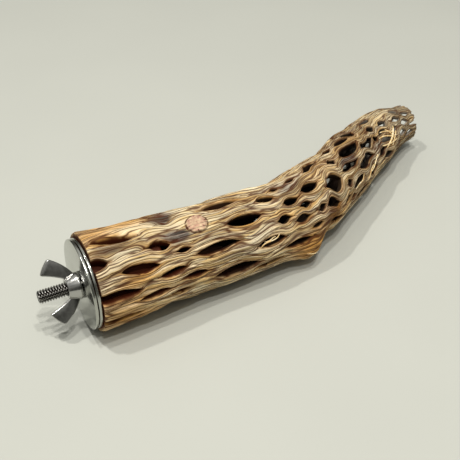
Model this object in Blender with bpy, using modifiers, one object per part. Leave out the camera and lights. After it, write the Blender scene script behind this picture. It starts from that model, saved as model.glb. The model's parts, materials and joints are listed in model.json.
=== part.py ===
"""Cholla cactus skeleton perch.

A dried, net-like cholla stem lies on its side. A turned wooden plug closes its thick end and holds
a hanger bolt, on which two wide washers and a wing nut clamp the perch to a cage.

The stem is drawn unrolled first: "along" runs down its centre line in millimetres and "round" is
the angle about that line in degrees, 0 on top and 90 on the side at -Y. The fibres run along the
stem and part round each opening. The sheet is cut out flat, given its wall, and then rolled up.

The bolt's axis is X, with its free end at -X. Sizes are in millimetres until placed().
"""

import math

import bmesh
import bpy
import numpy as np
from mathutils import Vector
from mathutils.geometry import delaunay_2d_cdt

MM = 0.001
PART = "cholla_perch"

# ---- driving dimensions, mm ---------------------------------------------------------------------
AXIS_HEIGHT = 23.5          # the bolt's axis above the surface that the stem lies on
SEAT_GAP = 0.3              # running gap between pieces that rest on each other

THREAD_RADIUS = 3.175       # 1/4 inch, 20 threads to the inch
THREAD_PITCH = 1.27
THREAD_DEPTH = 0.62
THREAD_SIDES = 12
STUD_FREE_END = -19.5
STUD_CHAMFER = 0.9
STUD_CHAMFER_FALL = 0.6
STUD_THREAD_END = 7.0
STUD_SCREW_RADIUS = 2.7     # the wood-screw thread that holds in the plug
STUD_SCREW_PITCH = 2.6
STUD_SCREW_DEPTH = 0.7
STUD_POINT = 30.0
STUD_POINT_TAPER = 7.0
STUD_POINT_BLUNT = 0.15     # share of the full radius left at the point
STUD_POINT_CORE = 0.35

WASHER_RADIUS = 21.5
WASHER_THICKNESS = 1.5
WASHER_HOLE_RADIUS = 3.65
WASHER_EDGE = 0.45
WASHER_SIDES = 40
OUTER_WASHER_FACE = 0.0
INNER_WASHER_FACE = OUTER_WASHER_FACE + WASHER_THICKNESS + SEAT_GAP
WOOD_END = INNER_WASHER_FACE + WASHER_THICKNESS + SEAT_GAP

NUT_BASE_RADIUS = 6.4
NUT_TOP_RADIUS = 4.8
NUT_HEIGHT = 6.0
NUT_EDGE = 0.5
NUT_BORE_RADIUS = THREAD_RADIUS + SEAT_GAP
NUT_SIDES = 24
NUT_TURN = 33.0             # how far the wings stand from upright, degrees
WING_THICKNESS = 2.1
WING_OUTER_CORNER = (-11.1, 15.5)   # x from the washer's face, and distance from the axis
WING_INNER_CORNER = (-16.3, 8.9)
WING_ROOT_OUTER = (-1.0, 5.2)
WING_ROOT_INNER = (-5.2, 4.1)
WING_SWELL = 1.0            # how far each edge of a wing bows outward

BORE_RADIUS = 16.5          # the stem's hollow where the plug sits
BORE_FADE = 16.0
PLUG_RADIUS = 15.6
PLUG_LENGTH = 34.0
PLUG_EDGE = 1.2
PLUG_BORE_RADIUS = THREAD_RADIUS + SEAT_GAP
PLUG_PILOT_RADIUS = STUD_SCREW_RADIUS + SEAT_GAP
PLUG_SIDES = 32

# ---- the stem: centre line, girth and wall --------------------------------------------------------
# x, y, gap under the stem, outer radius, wall
STEM = (
    (0.0, 0.0, 0.0, 23.7, 7.2),
    (14.0, 0.0, 0.0, 23.4, 6.9),
    (28.0, 0.4, 0.4, 22.5, 6.2),
    (51.0, 1.6, 0.8, 21.2, 5.6),
    (74.0, 2.6, 0.5, 21.1, 5.2),
    (98.0, 4.2, 0.6, 20.5, 4.8),
    (119.0, 8.6, 0.7, 20.2, 4.4),
    (143.0, 20.6, 1.3, 18.1, 4.0),
    (168.0, 35.4, 1.5, 17.0, 3.6),
    (193.5, 51.4, 1.3, 15.0, 3.3),
    (212.0, 60.8, 1.5, 13.9, 3.0),
    (222.0, 63.8, 2.8, 11.6, 2.6),
    (231.0, 65.4, 3.4, 11.0, 2.5),
    (243.5, 66.8, 4.6, 10.0, 2.4),
)
TIP = 245.4                 # how far along the last fibres reach
TIP_NOTCHES = (61.0, 124.0, 160.0, 196.0, 232.0, 268.0, 304.0, 340.0)  # gaps in the broken rim
TIP_NOTCH_DEPTH = 7.0
TIP_NOTCH_HALF_WIDTH = 5.5

# Swellings and hollows of the surface: along, round, reach along, reach round, height
LUMPS = (
    (9.0, 180.0, 11.0, 20.0, 0.5),
    (112.0, 118.0, 9.0, 24.0, 4.6),
    (112.0, 158.0, 9.0, 18.0, 2.4),
    (196.0, 180.0, 8.0, 22.0, 2.2),
    (58.0, -8.0, 16.0, 20.0, 1.0),
    (66.0, -36.0, 9.0, 14.0, -1.1),
    (39.0, 137.0, 7.0, 18.0, -1.4),
    (111.0, -38.0, 9.0, 24.0, -2.2),
    (124.0, 119.0, 6.0, 24.0, -2.6),
    (43.5, 0.0, 4.5, 12.0, -2.6),
    (30.0, -13.0, 10.0, 5.0, -1.2),
    (134.0, 20.0, 12.0, 25.0, 1.2),
    (156.0, 27.0, 8.0, 9.0, -1.6),
    (205.0, 75.0, 9.0, 38.0, 1.9),
    (196.0, 168.0, 9.0, 26.0, 2.6),
    (205.0, -60.0, 10.0, 35.0, 0.9),
    (150.0, -80.0, 14.0, 22.0, 1.2),
    (161.0, -57.0, 7.0, 22.0, -2.2),
    (184.0, -48.0, 7.0, 18.0, 0.9),
    (70.0, -120.0, 18.0, 30.0, 1.2),
)
SCAR_ALONG, SCAR_ROUND, SCAR_RADIUS, SCAR_HEIGHT = 56.5, 18.0, 4.4, 0.7

# Openings that were measured: along, round, half length, half width in degrees, lean in degrees
SEEN_OPENINGS = (
    (15.0, 9.5, 9.5, 4.4, 5.0),
    (3.5, 35.0, 6.5, 7.0, 0.0),
    (23.0, 52.0, 8.5, 5.8, 2.5),
    (34.5, 31.5, 5.0, 6.0, 3.0),
    (45.5, 46.0, 3.4, 3.2, 0.0),
    (37.5, 69.0, 6.5, 4.6, -1.5),
    (9.0, 75.5, 12.5, 6.2, 0.5),
    (49.3, 82.0, 5.8, 4.2, 1.0),
    (27.5, 89.5, 7.5, 4.6, -2.0),
    (41.5, 99.0, 4.5, 3.8, 2.0),
    (11.0, 109.5, 10.0, 3.6, 0.0),
    (71.5, -2.0, 9.0, 6.6, 0.0),
    (79.5, 33.5, 8.7, 7.2, 2.0),
    (62.5, 57.5, 10.6, 6.0, 0.5),
    (71.0, 98.0, 11.6, 9.4, 0.0),
    (94.5, 12.5, 4.6, 5.0, 3.5),
    (106.0, 29.5, 3.9, 5.4, 1.5),
    (99.0, 49.5, 3.3, 6.2, 0.0),
    (112.5, 43.5, 2.4, 4.6, 0.0),
    (108.5, 59.5, 3.4, 5.4, 0.0),
    (90.0, 72.5, 6.8, 5.8, 0.0),
    (119.0, 24.5, 4.8, 5.4, 0.0),
    (119.8, 59.5, 2.0, 4.2, 0.0),
    (127.6, 64.0, 4.3, 6.6, 3.0),
    (115.5, 80.5, 3.1, 3.6, 1.0),
    (104.0, 90.0, 6.6, 5.0, 0.0),
    (90.0, 109.0, 7.0, 3.6, 0.0),
    (103.0, 0.0, 2.2, 3.4, 0.0),
    (114.5, -4.0, 2.6, 3.4, 0.0),
    (133.0, -9.0, 8.0, 5.0, -5.0),
    (134.8, 42.0, 6.9, 12.0, 2.0),
    (146.5, 11.0, 3.2, 5.0, 2.0),
    (165.5, 14.0, 9.4, 7.8, 3.0),
    (155.5, 38.0, 7.8, 4.8, 1.0),
    (181.0, 30.0, 7.3, 5.8, -1.0),
    (170.5, -9.0, 6.2, 5.6, 0.0),
    (180.5, -17.0, 3.9, 11.0, 0.0),
    (147.5, 60.5, 2.5, 4.6, 0.0),
    (157.5, 72.0, 7.3, 6.2, 0.0),
    (170.5, 53.0, 8.6, 6.8, -1.0),
    (175.5, 78.0, 4.8, 8.4, 2.0),
    (141.0, 80.0, 3.8, 4.0, 1.0),
    (161.0, 97.5, 7.6, 5.4, 2.0),
    (129.0, 95.5, 5.0, 3.8, 2.0),
    (148.5, 86.0, 2.0, 3.6, 0.0),
    (156.5, -16.0, 3.2, 4.4, 0.0),
    (196.3, 13.0, 4.2, 5.4, 0.0),
    (210.0, 21.0, 3.9, 6.6, 2.0),
    (191.0, 36.5, 2.4, 5.0, 0.0),
    (203.0, 52.5, 7.2, 5.6, 2.0),
    (203.0, 38.0, 6.4, 3.2, 0.0),
    (191.5, 68.0, 4.6, 5.6, 2.0),
    (199.0, 85.0, 6.2, 6.0, 2.0),
    (216.0, 47.5, 2.4, 6.4, 0.0),
    (203.5, -14.0, 5.8, 5.4, 0.0),
    (228.5, 10.0, 3.4, 6.0, 0.0),
    (224.0, 33.0, 4.0, 5.6, 1.0),
    (238.2, 23.0, 4.0, 5.6, 0.0),
    (232.3, 47.5, 5.0, 6.2, 0.0),
    (225.2, 68.0, 4.8, 5.8, 0.0),
    (236.0, 84.0, 4.8, 6.2, 0.0),
    (218.0, 87.0, 2.2, 4.2, 0.0),
)

# The rest of the net follows the plant's own spiral: rows of openings, each row turned by half a
# step, that grow shorter and closer towards the tip.
NET_SEED = 11
NET_FIRST = 160.0           # where the net's even rows begin; odd rows begin half a step before
NET_ROWS = (
    # along of the row, half length, half width in degrees, openings in the full turn
    (13.0, 9.5, 4.6, 9),
    (31.0, 9.0, 4.8, 9),
    (48.5, 8.6, 5.0, 9),
    (65.5, 8.4, 5.2, 9),
    (82.0, 8.0, 5.4, 9),
    (97.5, 7.4, 5.6, 9),
    (112.0, 7.0, 6.2, 9),
    (125.5, 7.4, 11.5, 9),
    (138.0, 6.6, 8.0, 9),
    (150.0, 6.4, 9.0, 9),
    (161.8, 6.6, 10.0, 9),
    (173.0, 5.8, 9.0, 9),
    (183.5, 5.4, 8.6, 9),
    (193.0, 6.2, 13.5, 9),
    (202.8, 4.6, 8.0, 9),
    (212.0, 4.2, 7.8, 9),
)
NET_LAST = 333.0            # the measured openings take the turn from here on
# Row and place of the openings that have grown shut
NET_SHUT = {(0, 2), (0, 4), (1, 0), (1, 2), (2, 2), (3, 2), (6, 1), (7, 2), (8, 1), (8, 2), (14, 2)}
TIP_ROWS = (
    # the thin-walled tip: along, half length, half width in degrees, first opening's angle
    (222.3, 3.4, 5.6, 106.0),
    (229.2, 3.2, 5.6, 124.0),
    (236.2, 3.2, 5.6, 106.0),
)
TIP_STEP = 36.0
TIP_LAST = 341.0
FIBRE_REACH = 2.6           # fibres bend aside as far as this many half widths
OPENING_SHAPE = 0.7         # 0.5 is an ellipse, 1 a pointed lens

# ---- mesh fineness ----------------------------------------------------------------------------------
OPENING_SIDES = 10
LIP_DROP = 1.2              # how far an opening's edge lies below the ridges
LIP_WIDTH = 1.9
SEAM = -152.0
FILL_STEP = 1.2
SCALE_ROUND = 0.33          # millimetres for a degree while the sheet is flat
CLEAR_OF_EDGE = 1.3
CLEAR_OF_FILL = 2.2


class Track:
    """A smooth line of values through given stations (Catmull-Rom, uneven spacing)."""

    def __init__(self, stations, values):
        self.x = np.asarray(stations, float)
        self.y = np.asarray(values, float)
        self.slope = np.gradient(self.y, self.x)

    def __call__(self, at):
        at = np.clip(np.asarray(at, float), self.x[0], self.x[-1])
        i = np.clip(np.searchsorted(self.x, at) - 1, 0, len(self.x) - 2)
        step = self.x[i + 1] - self.x[i]
        t = (at - self.x[i]) / step
        a, b = self.y[i], self.y[i + 1]
        ma, mb = self.slope[i] * step, self.slope[i + 1] * step
        return (
            a * (1 + 2 * t) * (1 - t) ** 2
            + ma * t * (1 - t) ** 2
            + b * t * t * (3 - 2 * t)
            - mb * t * t * (1 - t)
        )


def wrapped(degrees):
    return (np.asarray(degrees, float) + 180.0) % 360.0 - 180.0


# ---- the stem's formulas --------------------------------------------------------------------------
def stem_tracks():
    x, y, gap, radius, wall = (np.array(column) for column in zip(*STEM))
    z = radius + gap - AXIS_HEIGHT
    centre = np.stack([x, y, z], axis=1)
    along = np.concatenate([[0.0], np.cumsum(np.linalg.norm(np.diff(centre, axis=0), axis=1))])
    tracks = [Track(along, column) for column in (x, y, z)]
    bore = radius - wall
    bore[:3] = BORE_RADIUS
    return tracks, Track(along, radius), Track(along, bore)


CENTRE, GIRTH, BORE = stem_tracks()


def centre_line(along):
    """Centre, tangent, up and side directions at each station."""
    centre = np.stack([track(along) for track in CENTRE], axis=-1)
    step = 0.5
    ahead = np.stack([track(along + step) for track in CENTRE], axis=-1)
    behind = np.stack([track(along - step) for track in CENTRE], axis=-1)
    tangent = ahead - behind
    tangent /= np.linalg.norm(tangent, axis=-1, keepdims=True)
    tangent[np.asarray(along) < WOOD_END + 8.0] = (1.0, 0.0, 0.0)
    vertical = np.array([0.0, 0.0, 1.0])
    up = vertical - tangent * tangent[..., 2:3]
    up /= np.linalg.norm(up, axis=-1, keepdims=True)
    return centre, tangent, up, np.cross(tangent, up)


def lumps(along, round_):
    """Height of the swellings, and of the scar where a branch broke off."""
    height = np.zeros_like(along)
    for at, turn, reach, spread, rise in LUMPS:
        away = ((along - at) / reach) ** 2 + (wrapped(round_ - turn) / spread) ** 2
        height += rise * np.exp(-away)
    across = np.radians(wrapped(round_ - SCAR_ROUND)) * GIRTH(along)
    from_scar = np.hypot(along - SCAR_ALONG, across) / SCAR_RADIUS
    return height + SCAR_HEIGHT * np.clip(3.0 - 2.4 * from_scar, 0.0, 1.0)


def rolled(along, round_, depth):
    """Points of the stem in mm. Depth is 1 on the outside of the wall and 0 in the bore.

    The stretch that takes the plug is drilled straight along the bolt's axis. Past it the hollow
    follows the stem.
    """
    centre, _, up, side = centre_line(along)
    turn = np.radians(round_)[..., None]
    outward = np.cos(turn) * up + np.sin(turn) * side
    outer = centre + (GIRTH(along) + lumps(along, round_))[..., None] * outward
    past = np.clip((along - WOOD_END - PLUG_LENGTH - 1.0) / BORE_FADE, 0.0, 1.0)
    middle = centre.copy()
    middle[..., 1:] *= (past * past * (3.0 - 2.0 * past))[..., None]
    inner = middle + BORE(along)[..., None] * outward
    point = inner + (outer - inner) * depth[..., None]
    point[..., 2] = np.maximum(point[..., 2], -AXIS_HEIGHT)
    return point


# ---- openings ---------------------------------------------------------------------------------------
def net_openings():
    """Openings of the side that the measured list leaves out, and of the tip."""
    rng = np.random.default_rng(NET_SEED)
    found = []
    for row, (along, half, width, count) in enumerate(NET_ROWS):
        for k in range(count):
            turn = NET_FIRST + (k - 0.5 * (row % 2)) * 360.0 / count
            if turn > NET_LAST:
                continue
            jitter = rng.uniform(-1.0, 1.0, 4)
            if (row, k) in NET_SHUT:
                continue
            found.append(
                (
                    along + 1.6 * jitter[0],
                    float(wrapped(turn + 2.2 * jitter[1])),
                    half * (1 + 0.14 * jitter[2]),
                    width * (1 + 0.16 * jitter[3]),
                    1.2 * jitter[1],
                )
            )
    for along, half, width, first in TIP_ROWS:
        for turn in np.arange(first, TIP_LAST, TIP_STEP):
            jitter = rng.uniform(-1.0, 1.0, 3)
            found.append(
                (
                    along + 0.2 * jitter[0],
                    float(wrapped(turn + 0.8 * jitter[1])),
                    half,
                    width * (1 + 0.08 * jitter[2]),
                    0.0,
                )
            )
    return found


OPENINGS = list(SEEN_OPENINGS) + net_openings()


def fibre_round(along, fibre):
    """The angle at which a fibre runs at each station, once the openings have pushed it aside.

    A fibre is named by the angle that it would keep on a stem with no openings.
    """
    pushed = np.array(fibre, float)
    for at, turn, half, width, lean in OPENINGS:
        t = (along - at) / half
        open_ = np.clip(1.0 - t * t, 0.0, None) ** OPENING_SHAPE
        off = wrapped(fibre - turn)
        side = np.where(off < 0.0, -1.0, 1.0)
        fade = np.exp(-np.abs(off) / (FIBRE_REACH * width))
        pushed = pushed + side * width * open_ * fade
        pushed = pushed + lean * t * np.exp(-t * t) * np.exp(-((off / (3.0 * width)) ** 2))
    return pushed


def opening_outlines():
    """Each opening's edge on the flat sheet, as a closed run of (x, y) points."""
    angles = 2.0 * math.pi * np.arange(OPENING_SIDES) / OPENING_SIDES
    at, turn, half, _, _ = (np.array(column)[:, None] for column in zip(*OPENINGS))
    along = at + half * np.cos(angles)
    side = np.where(np.sin(angles) >= -1e-9, 1e-6, -1e-6)
    round_ = fibre_round(along.ravel(), (turn + side).ravel()).reshape(along.shape)
    return np.stack([along, round_ * SCALE_ROUND], axis=-1)


def tip_edge(round_):
    """How far along the stem's broken end lies at each angle."""
    edge = TIP - 1.2 + 1.2 * np.sin(np.radians(3.0 * round_ + 40.0))
    for notch in TIP_NOTCHES:
        off = wrapped(round_ - notch) / TIP_NOTCH_HALF_WIDTH
        edge = edge - TIP_NOTCH_DEPTH * np.exp(-(off**4))
    return edge


# ---- the flat sheet -----------------------------------------------------------------------------------
def inside(points, outline):
    """Which points lie inside a closed outline."""
    x, y = points[:, 0], points[:, 1]
    hit = np.zeros(len(points), bool)
    for (x0, y0), (x1, y1) in zip(outline, outline[1:] + outline[:1]):
        crosses = (y0 > y) != (y1 > y)
        if y0 != y1:
            hit ^= crosses & (x < (x1 - x0) * (y - y0) / (y1 - y0) + x0)
    return hit


def distance_to(points, outline):
    """Each point's distance to a closed outline."""
    best = np.full(len(points), np.inf)
    ends = np.array(outline)
    for a, b in zip(ends, np.roll(ends, -1, axis=0)):
        leg = b - a
        t = np.clip(((points - a) @ leg) / max(leg @ leg, 1e-12), 0.0, 1.0)
        best = np.minimum(best, np.linalg.norm(points - a - t[:, None] * leg, axis=1))
    return best


def fill_points():
    """Points between the openings, in rows that close up towards the tip."""
    found = []
    along, row = WOOD_END + 3.2, 0
    while along < TIP - 1.5:
        girth = float(GIRTH(along))
        step = FILL_STEP * (2.0 + girth * 0.14)
        count = round(2.0 * math.pi * girth / (step * 1.25))
        for k in range(count):
            turn = SEAM + (k + 0.25 + 0.5 * (row % 2)) * 360.0 / count
            if along < float(tip_edge(turn)) - 1.2:
                found.append((along, turn * SCALE_ROUND))
        along += step
        row += 1
    return np.array(found)


def ring_points(outlines):
    """A few points just outside each opening, where its lip has risen to the full surface."""
    leg = np.roll(outlines, -1, axis=1) - np.roll(outlines, 1, axis=1)
    out = np.stack([leg[..., 1], -leg[..., 0]], axis=-1)
    out /= np.linalg.norm(out, axis=-1, keepdims=True)
    ring = (outlines + LIP_WIDTH * out)[:, ::2].reshape(-1, 2)
    lowest, highest = SEAM * SCALE_ROUND, (SEAM + 360.0) * SCALE_ROUND
    ring[:, 1] = lowest + (ring[:, 1] - lowest) % (highest - lowest)
    return ring[(ring[:, 0] > WOOD_END + 1.0) & (ring[:, 0] < TIP - TIP_NOTCH_DEPTH - 2.0)]


def scar_points():
    """A centre and two rings, inside and outside the branch scar's edge."""
    found = [(SCAR_ALONG, SCAR_ROUND * SCALE_ROUND)]
    girth = float(GIRTH(SCAR_ALONG))
    for share in (0.8, 1.3):
        for k in range(10):
            angle = 2.0 * math.pi * k / 10
            turn = math.degrees(share * SCAR_RADIUS * math.sin(angle) / girth)
            found.append(
                (
                    SCAR_ALONG + share * SCAR_RADIUS * math.cos(angle),
                    (SCAR_ROUND + turn) * SCALE_ROUND,
                )
            )
    return np.array(found)


def thinned(points, gap):
    """The points that keep a gap from those before them."""
    kept = points[:1]
    for point in points[1:]:
        away = kept - point
        if np.einsum("ij,ij->i", away, away).min() > gap * gap:
            kept = np.vstack([kept, point])
    return [tuple(point) for point in kept]


def sheet_border():
    """The flat sheet's outline: the seam, the broken tip, the seam again and the sawn end."""
    far = SEAM + 360.0
    tip = [(float(tip_edge(t)), t) for t in (SEAM + k * 360.0 / 80 for k in range(81))]
    seam = list(np.arange(WOOD_END + 5.0, tip[0][0] - 3.0, 5.0))
    saw = [(WOOD_END, SEAM + k * 360.0 / 36) for k in range(36, -1, -1)]
    border = [(s, SEAM) for s in seam] + tip + [(s, far) for s in reversed(seam)] + saw
    return [(float(s), a * SCALE_ROUND) for s, a in border]


def flat_sheet():
    """Triangles of the perforated sheet: flat points and index triples."""
    border = sheet_border()
    found = opening_outlines()
    outlines = []
    for shift in (-360.0, 0.0, 360.0):
        for outline in found + np.array([0.0, shift * SCALE_ROUND]):
            if SEAM - 1.0 < outline[:, 1].max() / SCALE_ROUND:
                if outline[:, 1].min() / SCALE_ROUND < SEAM + 361.0:
                    outlines.append([tuple(p) for p in outline])
    fill = np.concatenate([scar_points(), ring_points(found), fill_points()])
    keep = np.ones(len(fill), bool)
    for outline in outlines:
        keep &= ~inside(fill, outline) & (distance_to(fill, outline) > CLEAR_OF_EDGE)
    keep &= distance_to(fill, border) > CLEAR_OF_EDGE
    fill = thinned(fill[keep], CLEAR_OF_FILL)
    points, edges = [], []
    for loop in [border] + outlines:
        first = len(points)
        points += loop
        edges += [(first + k, first + (k + 1) % len(loop)) for k in range(len(loop))]
    made, _, faces, _, _, _ = delaunay_2d_cdt(
        [Vector(p) for p in points + fill], edges, [], 0, 1e-5
    )
    made = np.array([tuple(p) for p in made])
    faces = np.array([tuple(f) for f in faces])
    middle = made[faces].mean(axis=1)
    wood = inside(middle, border)
    for outline in outlines:
        wood &= ~inside(middle, outline)
    return made, faces[wood]


# ---- Blender objects ------------------------------------------------------------------------------
def clear_scene():
    for old in list(bpy.data.objects):
        bpy.data.objects.remove(old, do_unlink=True)


def new_collection(name):
    made = bpy.data.collections.new(name)
    bpy.context.scene.collection.children.link(made)
    return made


def material(name, colour, roughness, metallic=0.0):
    made = bpy.data.materials.new(name)
    made.use_nodes = True
    shader = made.node_tree.nodes["Principled BSDF"]
    shader.inputs["Base Color"].default_value = (*colour, 1.0)
    shader.inputs["Roughness"].default_value = roughness
    shader.inputs["Metallic"].default_value = metallic
    return made


def placed(name, data, where, finish, turn=(0.0, 0.0, 0.0)):
    """Links a mesh or curve as a named object, turned by the given degrees."""
    made = bpy.data.objects.new(name, data)
    where.objects.link(made)
    made.rotation_euler = tuple(math.radians(a) for a in turn)
    data.materials.append(finish)
    return made


def turned(name, profile, sides, where, finish, closed=True):
    """A profile of (radius, x) points in mm, turned about the bolt's axis by a Screw modifier."""
    mesh = bpy.data.meshes.new(name)
    points = [(radius * MM, 0.0, x * MM) for radius, x in profile]
    edges = [(k, k + 1) for k in range(len(points) - 1)]
    if closed:
        edges.append((len(points) - 1, 0))
    mesh.from_pydata(points, edges, [])
    made = placed(name, mesh, where, finish, turn=(0.0, 90.0, 0.0))
    screw = made.modifiers.new("turn", "SCREW")
    screw.steps = screw.render_steps = sides
    screw.use_merge_vertices = True
    screw.merge_threshold = 1e-5
    return made


def frozen(source):
    """A curve, or an object with modifiers, made a plain welded mesh of the same name."""
    bpy.context.view_layer.update()
    graph = bpy.context.evaluated_depsgraph_get()
    mesh = bpy.data.meshes.new_from_object(source.evaluated_get(graph))
    matrix, name, where = source.matrix_world.copy(), source.name, source.users_collection[0]
    bpy.data.objects.remove(source, do_unlink=True)
    bm = bmesh.new()
    bm.from_mesh(mesh)
    bmesh.ops.remove_doubles(bm, verts=bm.verts, dist=1e-6)
    bm.to_mesh(mesh)
    bm.free()
    made = bpy.data.objects.new(name, mesh)
    where.objects.link(made)
    made.matrix_world = matrix
    return made


def joined(base, others):
    """One Boolean union, applied, with the joined pieces removed."""
    helpers = new_collection(base.name + "_joins")
    for other in others:
        other.users_collection[0].objects.unlink(other)
        helpers.objects.link(other)
    union = base.modifiers.new("join", "BOOLEAN")
    union.operation = "UNION"
    union.operand_type = "COLLECTION"
    union.collection = helpers
    union.solver = "EXACT"
    made = frozen(base)
    for other in others:
        bpy.data.objects.remove(other, do_unlink=True)
    bpy.data.collections.remove(helpers)
    return made


# ---- pieces ---------------------------------------------------------------------------------------
def only_on_seam(vert):
    """True for a border point whose border edges both run along the seam."""
    border = [e for e in vert.link_edges if e.is_boundary]
    seams = (SEAM * SCALE_ROUND, (SEAM + 360.0) * SCALE_ROUND)
    return any(all(abs(v.co.y - y) < 1e-4 for e in border for v in e.verts) for y in seams)


def cholla_skeleton(where, finish):
    """The stem: the perforated sheet given its wall, rolled up and closed along its seam."""
    points, faces = flat_sheet()
    bm = bmesh.new()
    verts = [bm.verts.new((x, y, 1.0)) for x, y in points]
    for face in faces:
        bm.faces.new([verts[i] for i in face])
    bmesh.ops.delete(bm, geom=[v for v in bm.verts if not v.link_faces], context="VERTS")
    for v in bm.verts:
        if v.is_boundary and v.co.x > WOOD_END + 1e-4 and not only_on_seam(v):
            wall = float(GIRTH(v.co.x) - BORE(v.co.x))
            v.co.z = 1.0 - min(LIP_DROP / wall, 0.4)
    grown = bmesh.ops.extrude_face_region(bm, geom=list(bm.faces), use_keep_orig=True)
    for item in grown["geom"]:
        if isinstance(item, bmesh.types.BMVert):
            item.co.z = 0.0
    seams = (SEAM * SCALE_ROUND, (SEAM + 360.0) * SCALE_ROUND)
    walls = [f for f in bm.faces if any(all(abs(v.co.y - y) < 1e-4 for v in f.verts) for y in seams)]
    bmesh.ops.delete(bm, geom=walls, context="FACES")
    sheet = np.array([tuple(v.co) for v in bm.verts])
    for v, point in zip(bm.verts, rolled(sheet[:, 0], sheet[:, 1] / SCALE_ROUND, sheet[:, 2])):
        v.co = Vector(point) * MM
    bmesh.ops.remove_doubles(bm, verts=bm.verts, dist=2e-5)
    bmesh.ops.triangulate(bm, faces=bm.faces)
    bmesh.ops.recalc_face_normals(bm, faces=bm.faces)
    mesh = bpy.data.meshes.new("cholla_skeleton")
    bm.to_mesh(mesh)
    bm.free()
    mesh.shade_smooth()
    return placed("cholla_skeleton", mesh, where, finish)


def end_plug(where, finish):
    """A turned dowel, bored for the bolt's thread and narrower for its screw end."""
    front, back = WOOD_END, WOOD_END + PLUG_LENGTH
    profile = (
        (0.0, back),
        (PLUG_RADIUS - PLUG_EDGE, back),
        (PLUG_RADIUS, back - PLUG_EDGE),
        (PLUG_RADIUS, front),
        (PLUG_BORE_RADIUS, front),
        (PLUG_BORE_RADIUS, STUD_THREAD_END + 1.0),
        (PLUG_PILOT_RADIUS, STUD_THREAD_END + 2.0),
        (PLUG_PILOT_RADIUS, STUD_POINT),
        (0.0, STUD_POINT + 1.5),
    )
    return frozen(turned("end_plug", profile, PLUG_SIDES, where, finish, closed=False))


def hanger_stud(where, finish):
    """A helix of crests and roots: machine thread outside, wood-screw thread in the plug."""
    machine_turns = (STUD_THREAD_END - STUD_FREE_END) / THREAD_PITCH + 1.0
    turns = machine_turns + (STUD_POINT - STUD_THREAD_END) / STUD_SCREW_PITCH

    def station(turn):
        past = max(turn - machine_turns, 0.0)
        start = STUD_FREE_END - THREAD_PITCH
        return start + THREAD_PITCH * min(turn, machine_turns) + STUD_SCREW_PITCH * past

    def crest(x):
        if x < STUD_THREAD_END:
            return THREAD_RADIUS - max(0.0, STUD_CHAMFER - (x - STUD_FREE_END)) * STUD_CHAMFER_FALL
        return STUD_SCREW_RADIUS * min(1.0, STUD_POINT_BLUNT + (STUD_POINT - x) / STUD_POINT_TAPER)

    def root(x):
        if x < STUD_THREAD_END:
            return THREAD_RADIUS - THREAD_DEPTH
        return crest(x) - STUD_SCREW_DEPTH

    bm = bmesh.new()
    rows = []
    for k in range(int(turns * THREAD_SIDES)):
        angle = 2.0 * math.pi * k / THREAD_SIDES
        pair = []
        for radius_at, lag in ((crest, 0.0), (root, 0.5)):
            x = station(k / THREAD_SIDES + lag)
            radius = max(radius_at(x), STUD_POINT_CORE)
            point = Vector((x, radius * math.cos(angle), radius * math.sin(angle)))
            pair.append(bm.verts.new(point * MM))
        rows.append(pair)
    for (c0, r0), (c1, r1) in zip(rows, rows[1:]):
        bm.faces.new((c0, c1, r1, r0))
    for k in range(len(rows) - THREAD_SIDES - 1):
        (_, r0), (_, r1) = rows[k : k + 2]
        (c0, _), (c1, _) = rows[k + THREAD_SIDES : k + THREAD_SIDES + 2]
        bm.faces.new((r0, r1, c1, c0))
    for x, side in ((STUD_FREE_END, 1.0), (STUD_POINT - STUD_SCREW_PITCH, -1.0)):
        everything = list(bm.verts) + list(bm.edges) + list(bm.faces)
        bmesh.ops.bisect_plane(
            bm,
            geom=everything,
            dist=1e-7,
            plane_co=(x * MM, 0.0, 0.0),
            plane_no=(side, 0.0, 0.0),
            clear_inner=True,
        )
        bmesh.ops.holes_fill(bm, edges=[e for e in bm.edges if e.is_boundary and flat_at(e, x)])
    bmesh.ops.triangulate(bm, faces=bm.faces)
    bmesh.ops.recalc_face_normals(bm, faces=bm.faces)
    mesh = bpy.data.meshes.new("hanger_stud")
    bm.to_mesh(mesh)
    bm.free()
    return placed("hanger_stud", mesh, where, finish)


def flat_at(edge, x):
    """True for an edge that lies across the bolt at station x."""
    return all(abs(v.co.x - x * MM) < 1e-6 for v in edge.verts)


def washer(name, face, where, finish):
    """A wide flat washer with its outer edges rounded, from its front face backward."""
    back = face + WASHER_THICKNESS
    part_edge = WASHER_EDGE * (1.0 - math.sqrt(0.5))
    profile = (
        (WASHER_RADIUS - WASHER_EDGE, back),
        (WASHER_RADIUS - part_edge, back - part_edge),
        (WASHER_RADIUS, back - WASHER_EDGE),
        (WASHER_RADIUS, face + WASHER_EDGE),
        (WASHER_RADIUS - part_edge, face + part_edge),
        (WASHER_RADIUS - WASHER_EDGE, face),
        (WASHER_HOLE_RADIUS, face),
        (WASHER_HOLE_RADIUS, back),
    )
    return turned(name, profile, WASHER_SIDES, where, finish)


def wing_outline():
    """A paddle in the plane of the axis: root, swept edge, square end and the edge back."""
    corners = (WING_ROOT_OUTER, WING_OUTER_CORNER, WING_INNER_CORNER, WING_ROOT_INNER)
    points = []
    for (x0, r0), (x1, r1), swell in zip(corners, corners[1:], (1.0, 0.5, -0.4)):
        length = math.hypot(x1 - x0, r1 - r0)
        for k in range(4):
            t = k / 4
            bow = swell * WING_SWELL * 4.0 * t * (1.0 - t)
            x = x0 + (x1 - x0) * t + bow * (r1 - r0) / length
            r = r0 + (r1 - r0) * t - bow * (x1 - x0) / length
            points.append((x, r))
    return points + [WING_ROOT_INNER]


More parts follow.
